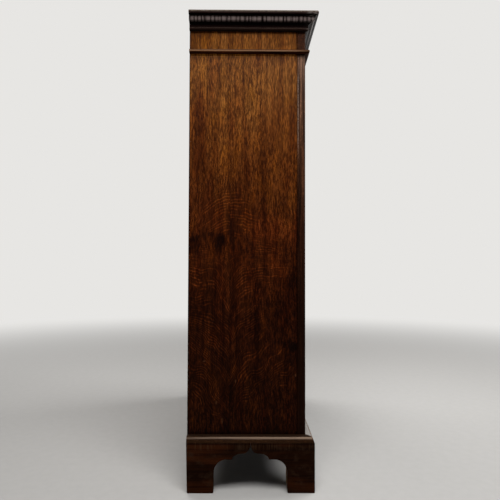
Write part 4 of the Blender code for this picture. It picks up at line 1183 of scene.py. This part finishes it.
def drive(name, tree, spots, body, size, material, seed):
    """Heads of a radius and height at (point, facing) spots, as one plain mesh that rides on a body."""
    points = bpy.data.meshes.new(name)
    points.from_pydata([point for point, _ in spots], [], [])
    points.attributes.new("facing", "FLOAT_VECTOR", "POINT")
    for entry, (_, way) in zip(points.attributes["facing"].data, spots):
        entry.vector = way
    seat = add_object(name + "_points", points)
    modifier = seat.modifiers.new("heads", "NODES")
    modifier.node_group = tree
    values = {"Radius": size[0], "Proud": size[1], "Seed": seed, "Finish": material}
    for socket in tree.interface.items_tree:
        if socket.name in values:
            modifier[socket.identifier] = values[socket.name]
    mesh = plain_mesh(seat)
    piece = add_object(name, mesh)
    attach(piece, body)
    print(name, len(spots), "heads,", len(mesh.polygons), "faces")


def middle(node):
    """A solid's middle, lowest corner and highest corner."""
    low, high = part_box(node)
    return (low + high) / 2, low, high


def grid(centre, y, steps_x, steps_z, way):
    """Spots at every pair of steps sideways and up from a centre, all facing one way."""
    return [((centre.x + dx, y, centre.z + dz), way) for dx in steps_x for dz in steps_z]


print("heads face", FRONT, "or", REAR)

# %% Pegs
PEG_INSET = 0.009
DOOR_PEG, FRAME_PEG = (0.0029, 0.00045), (0.0026, 0.00045)
for side, hand in (("left", -1), ("right", 1)):
    door = side + "_door"
    spots = []
    for stile, inner in (("hinge_stile", -hand), ("meeting_stile", hand)):
        _, low, high = middle(f"{door}_{stile}")
        x = (high.x if inner > 0 else low.x) - inner * PEG_INSET
        for rail, shares in (("bottom_rail", (0.32, 0.68)), ("top_rail", (0.3, 0.7))):
            _, foot, head = middle(f"{door}_{rail}")
            for share in shares:
                z = foot.z + share * (head.z - foot.z)
                spots += [((x, low.y, z), FRONT), ((x, high.y, z), REAR)]
    drive(door + "_pegs", PEGS, spots, door, DOOR_PEG, ENDGRAIN, seed=3)

_, low, high = middle("bottom_rail")
spots = []
for hand in (-1, 1):
    for share in (0.27, 0.73):
        spots.append(((hand * (high.x - PEG_INSET), low.y, low.z + share * (high.z - low.z)), FRONT))
drive("frame_pegs", PEGS, spots, "carcase", FRAME_PEG, ENDGRAIN, seed=5)

# %% [markdown]
# ## Screws of the hinges, lock and bolts
#
# Three countersunk screws hold each hinge leaf, with the middle one off the line so that the wood doesn't split. The
# lock has a screw in each corner and a bolt plate six. When a door is shut its hinge leaves nearly touch, so those
# heads stand only a tenth of a millimetre proud.

# %% Hinge screws
LEAF_GAP, LEAF_LINE, SCREW_STEP = 0.0002, 0.0082, 0.020
LEAF_SCREW = (0.0022, 0.00012)
frame_spots = []
for side, hand in (("left", -1), ("right", 1)):
    door = side + "_door"
    spots = []
    for end in ("lower", "upper"):
        centre, _, high = middle(f"{door}_{end}_hinge_door_leaf")
        for rise in (-SCREW_STEP, 0.0, SCREW_STEP):
            y = high.y - LEAF_LINE + (0.003 if rise else -0.002)
            z = centre.z + rise
            spots.append(((centre.x - hand * LEAF_GAP, y, z), (hand, 0, 0)))
            frame_spots.append(((centre.x + hand * LEAF_GAP, y, z), (-hand, 0, 0)))
    drive(door + "_hinge_screws", SCREWS, spots, door, LEAF_SCREW, BRASS, seed=7)
drive("frame_hinge_screws", SCREWS, frame_spots, "carcase", LEAF_SCREW, BRASS, seed=9)

# %% Lock and bolt screws
PLATE_THICK = 0.003
LOCK_SCREW, BOLT_SCREW = (0.0021, 0.0007), (0.0015, 0.0005)
centre, _, high = middle("right_door_lock_case")
spots = grid(centre, high.y, (-0.0165, 0.0165), (-0.0135, 0.0135), REAR)
drive("lock_screws", SCREWS, spots, "right_door", LOCK_SCREW, BRASS, seed=11)

spots = []
for end in ("top", "bottom"):
    centre, low, _ = middle(f"left_door_{end}_bolt_plate")
    spots += grid(centre, low.y + PLATE_THICK, (-0.0088, 0.0088), (-0.029, 0.0, 0.029), REAR)
drive("bolt_plate_screws", SCREWS, spots, "left_door", BOLT_SCREW, BRASS, seed=13)

# %% [markdown]
# ## Nails of the back
#
# The back boards are nailed to the bottom and to each shelf, and the outer ones to the sides. Nobody measures for
# nails, so a small jog takes each one off its line. A sine of the place gives the jog, which is the same each run.

# %% Nails
EDGE_X, EDGE_Y = 0.4345, 0.1632
NAIL = (0.0042, 0.0003)
spots = []
for number in (1, 2, 3):
    _, low, high = middle(f"back_board_{number}")
    for beam in ("bottom_board", "shelf_1", "shelf_2", "shelf_3"):
        z = middle(beam)[0].z
        for share in (0.16, 0.5, 0.84):
            jog = 0.002 * math.sin(37 * number + 11 * share + 90 * z)
            spots.append(((low.x + share * (high.x - low.x) + jog, high.y, z + jog / 2), REAR))
for hand in (-1, 1):
    for step in range(6):
        spots.append(((hand * EDGE_X, EDGE_Y, 0.25 + 0.16 * step), REAR))
drive("back_nails", NAILS, spots, "carcase", NAIL, IRON, seed=17)

# %% [markdown]
# ## The keyhole plate
#
# A small brass plate keeps the key from wearing the stile. Its outline is a curve with a hole in it; a flat curve
# with a little thickness and a round edge turns into a mesh that already has its bevel. Two pins hold it.

# %% Outline of the plate
PLATE_HALF, PLATE_TALL, PLATE_DEEP = 0.0098, 0.0170, 0.0012
ROUND_EDGE = 0.0003
PIN, PIN_RISE = (0.0011, 0.0005), 0.0135
BORE, SLOT_HALF, SLOT_FOOT = 0.0036, 0.0019, -0.0095
RIM_STEPS, BORE_STEPS = 72, 28


def rim():
    """An oval with four small lobes."""
    points = []
    for step in range(RIM_STEPS):
        angle = 2 * math.pi * step / RIM_STEPS
        lobe = 1 + 0.07 * math.cos(4 * angle) + 0.05 * math.cos(8 * angle)
        points.append((PLATE_HALF * lobe * math.sin(angle), PLATE_TALL * lobe * math.cos(angle)))
    return points


def keyhole():
    """A round bore over a straight slot."""
    start = math.asin(SLOT_HALF / BORE)
    turns = [start + (2 * math.pi - 2 * start) * step / BORE_STEPS for step in range(BORE_STEPS + 1)]
    bore = [(BORE * math.sin(turn), -BORE * math.cos(turn)) for turn in turns]
    return bore + [(-SLOT_HALF, SLOT_FOOT), (SLOT_HALF, SLOT_FOOT)]


print("plate", len(rim()), "points round,", len(keyhole()), "in the keyhole")

# %% Escutcheon


def escutcheon():
    flat = bpy.data.curves.new("escutcheon", "CURVE")
    flat.dimensions, flat.fill_mode = "2D", "BOTH"
    flat.extrude, flat.bevel_depth, flat.bevel_resolution = PLATE_DEEP / 2 - ROUND_EDGE, ROUND_EDGE, 2
    for ring in (rim(), keyhole()):
        spline = flat.splines.new("POLY")
        spline.points.add(len(ring) - 1)
        for point, (x, z) in zip(spline.points, ring):
            point.co = (x, z, 0, 1)
        spline.use_cyclic_u = True
    return plain_mesh(add_object("escutcheon_curve", flat))


key_middle = middle("key")[0]
stile_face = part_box("right_door_meeting_stile")[0].y
plate_mesh = escutcheon()
plate_mesh.name = "escutcheon"
seat = Matrix.Translation((key_middle.x, stile_face - PLATE_DEEP / 2, key_middle.z))
plate_mesh.transform(seat @ Matrix.Rotation(math.pi / 2, 4, "X"))
plate_mesh.materials.clear()
plate_mesh.materials.append(BRASS)
plate = add_object("escutcheon", plate_mesh)
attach(plate, "right_door")
spots = grid(key_middle, stile_face - PLATE_DEEP, (0.0,), (-PIN_RISE, PIN_RISE), FRONT)
drive("escutcheon_pins", PEGS, spots, "right_door", PIN, BRASS, seed=19)
print("escutcheon", len(plate_mesh.polygons), "faces")
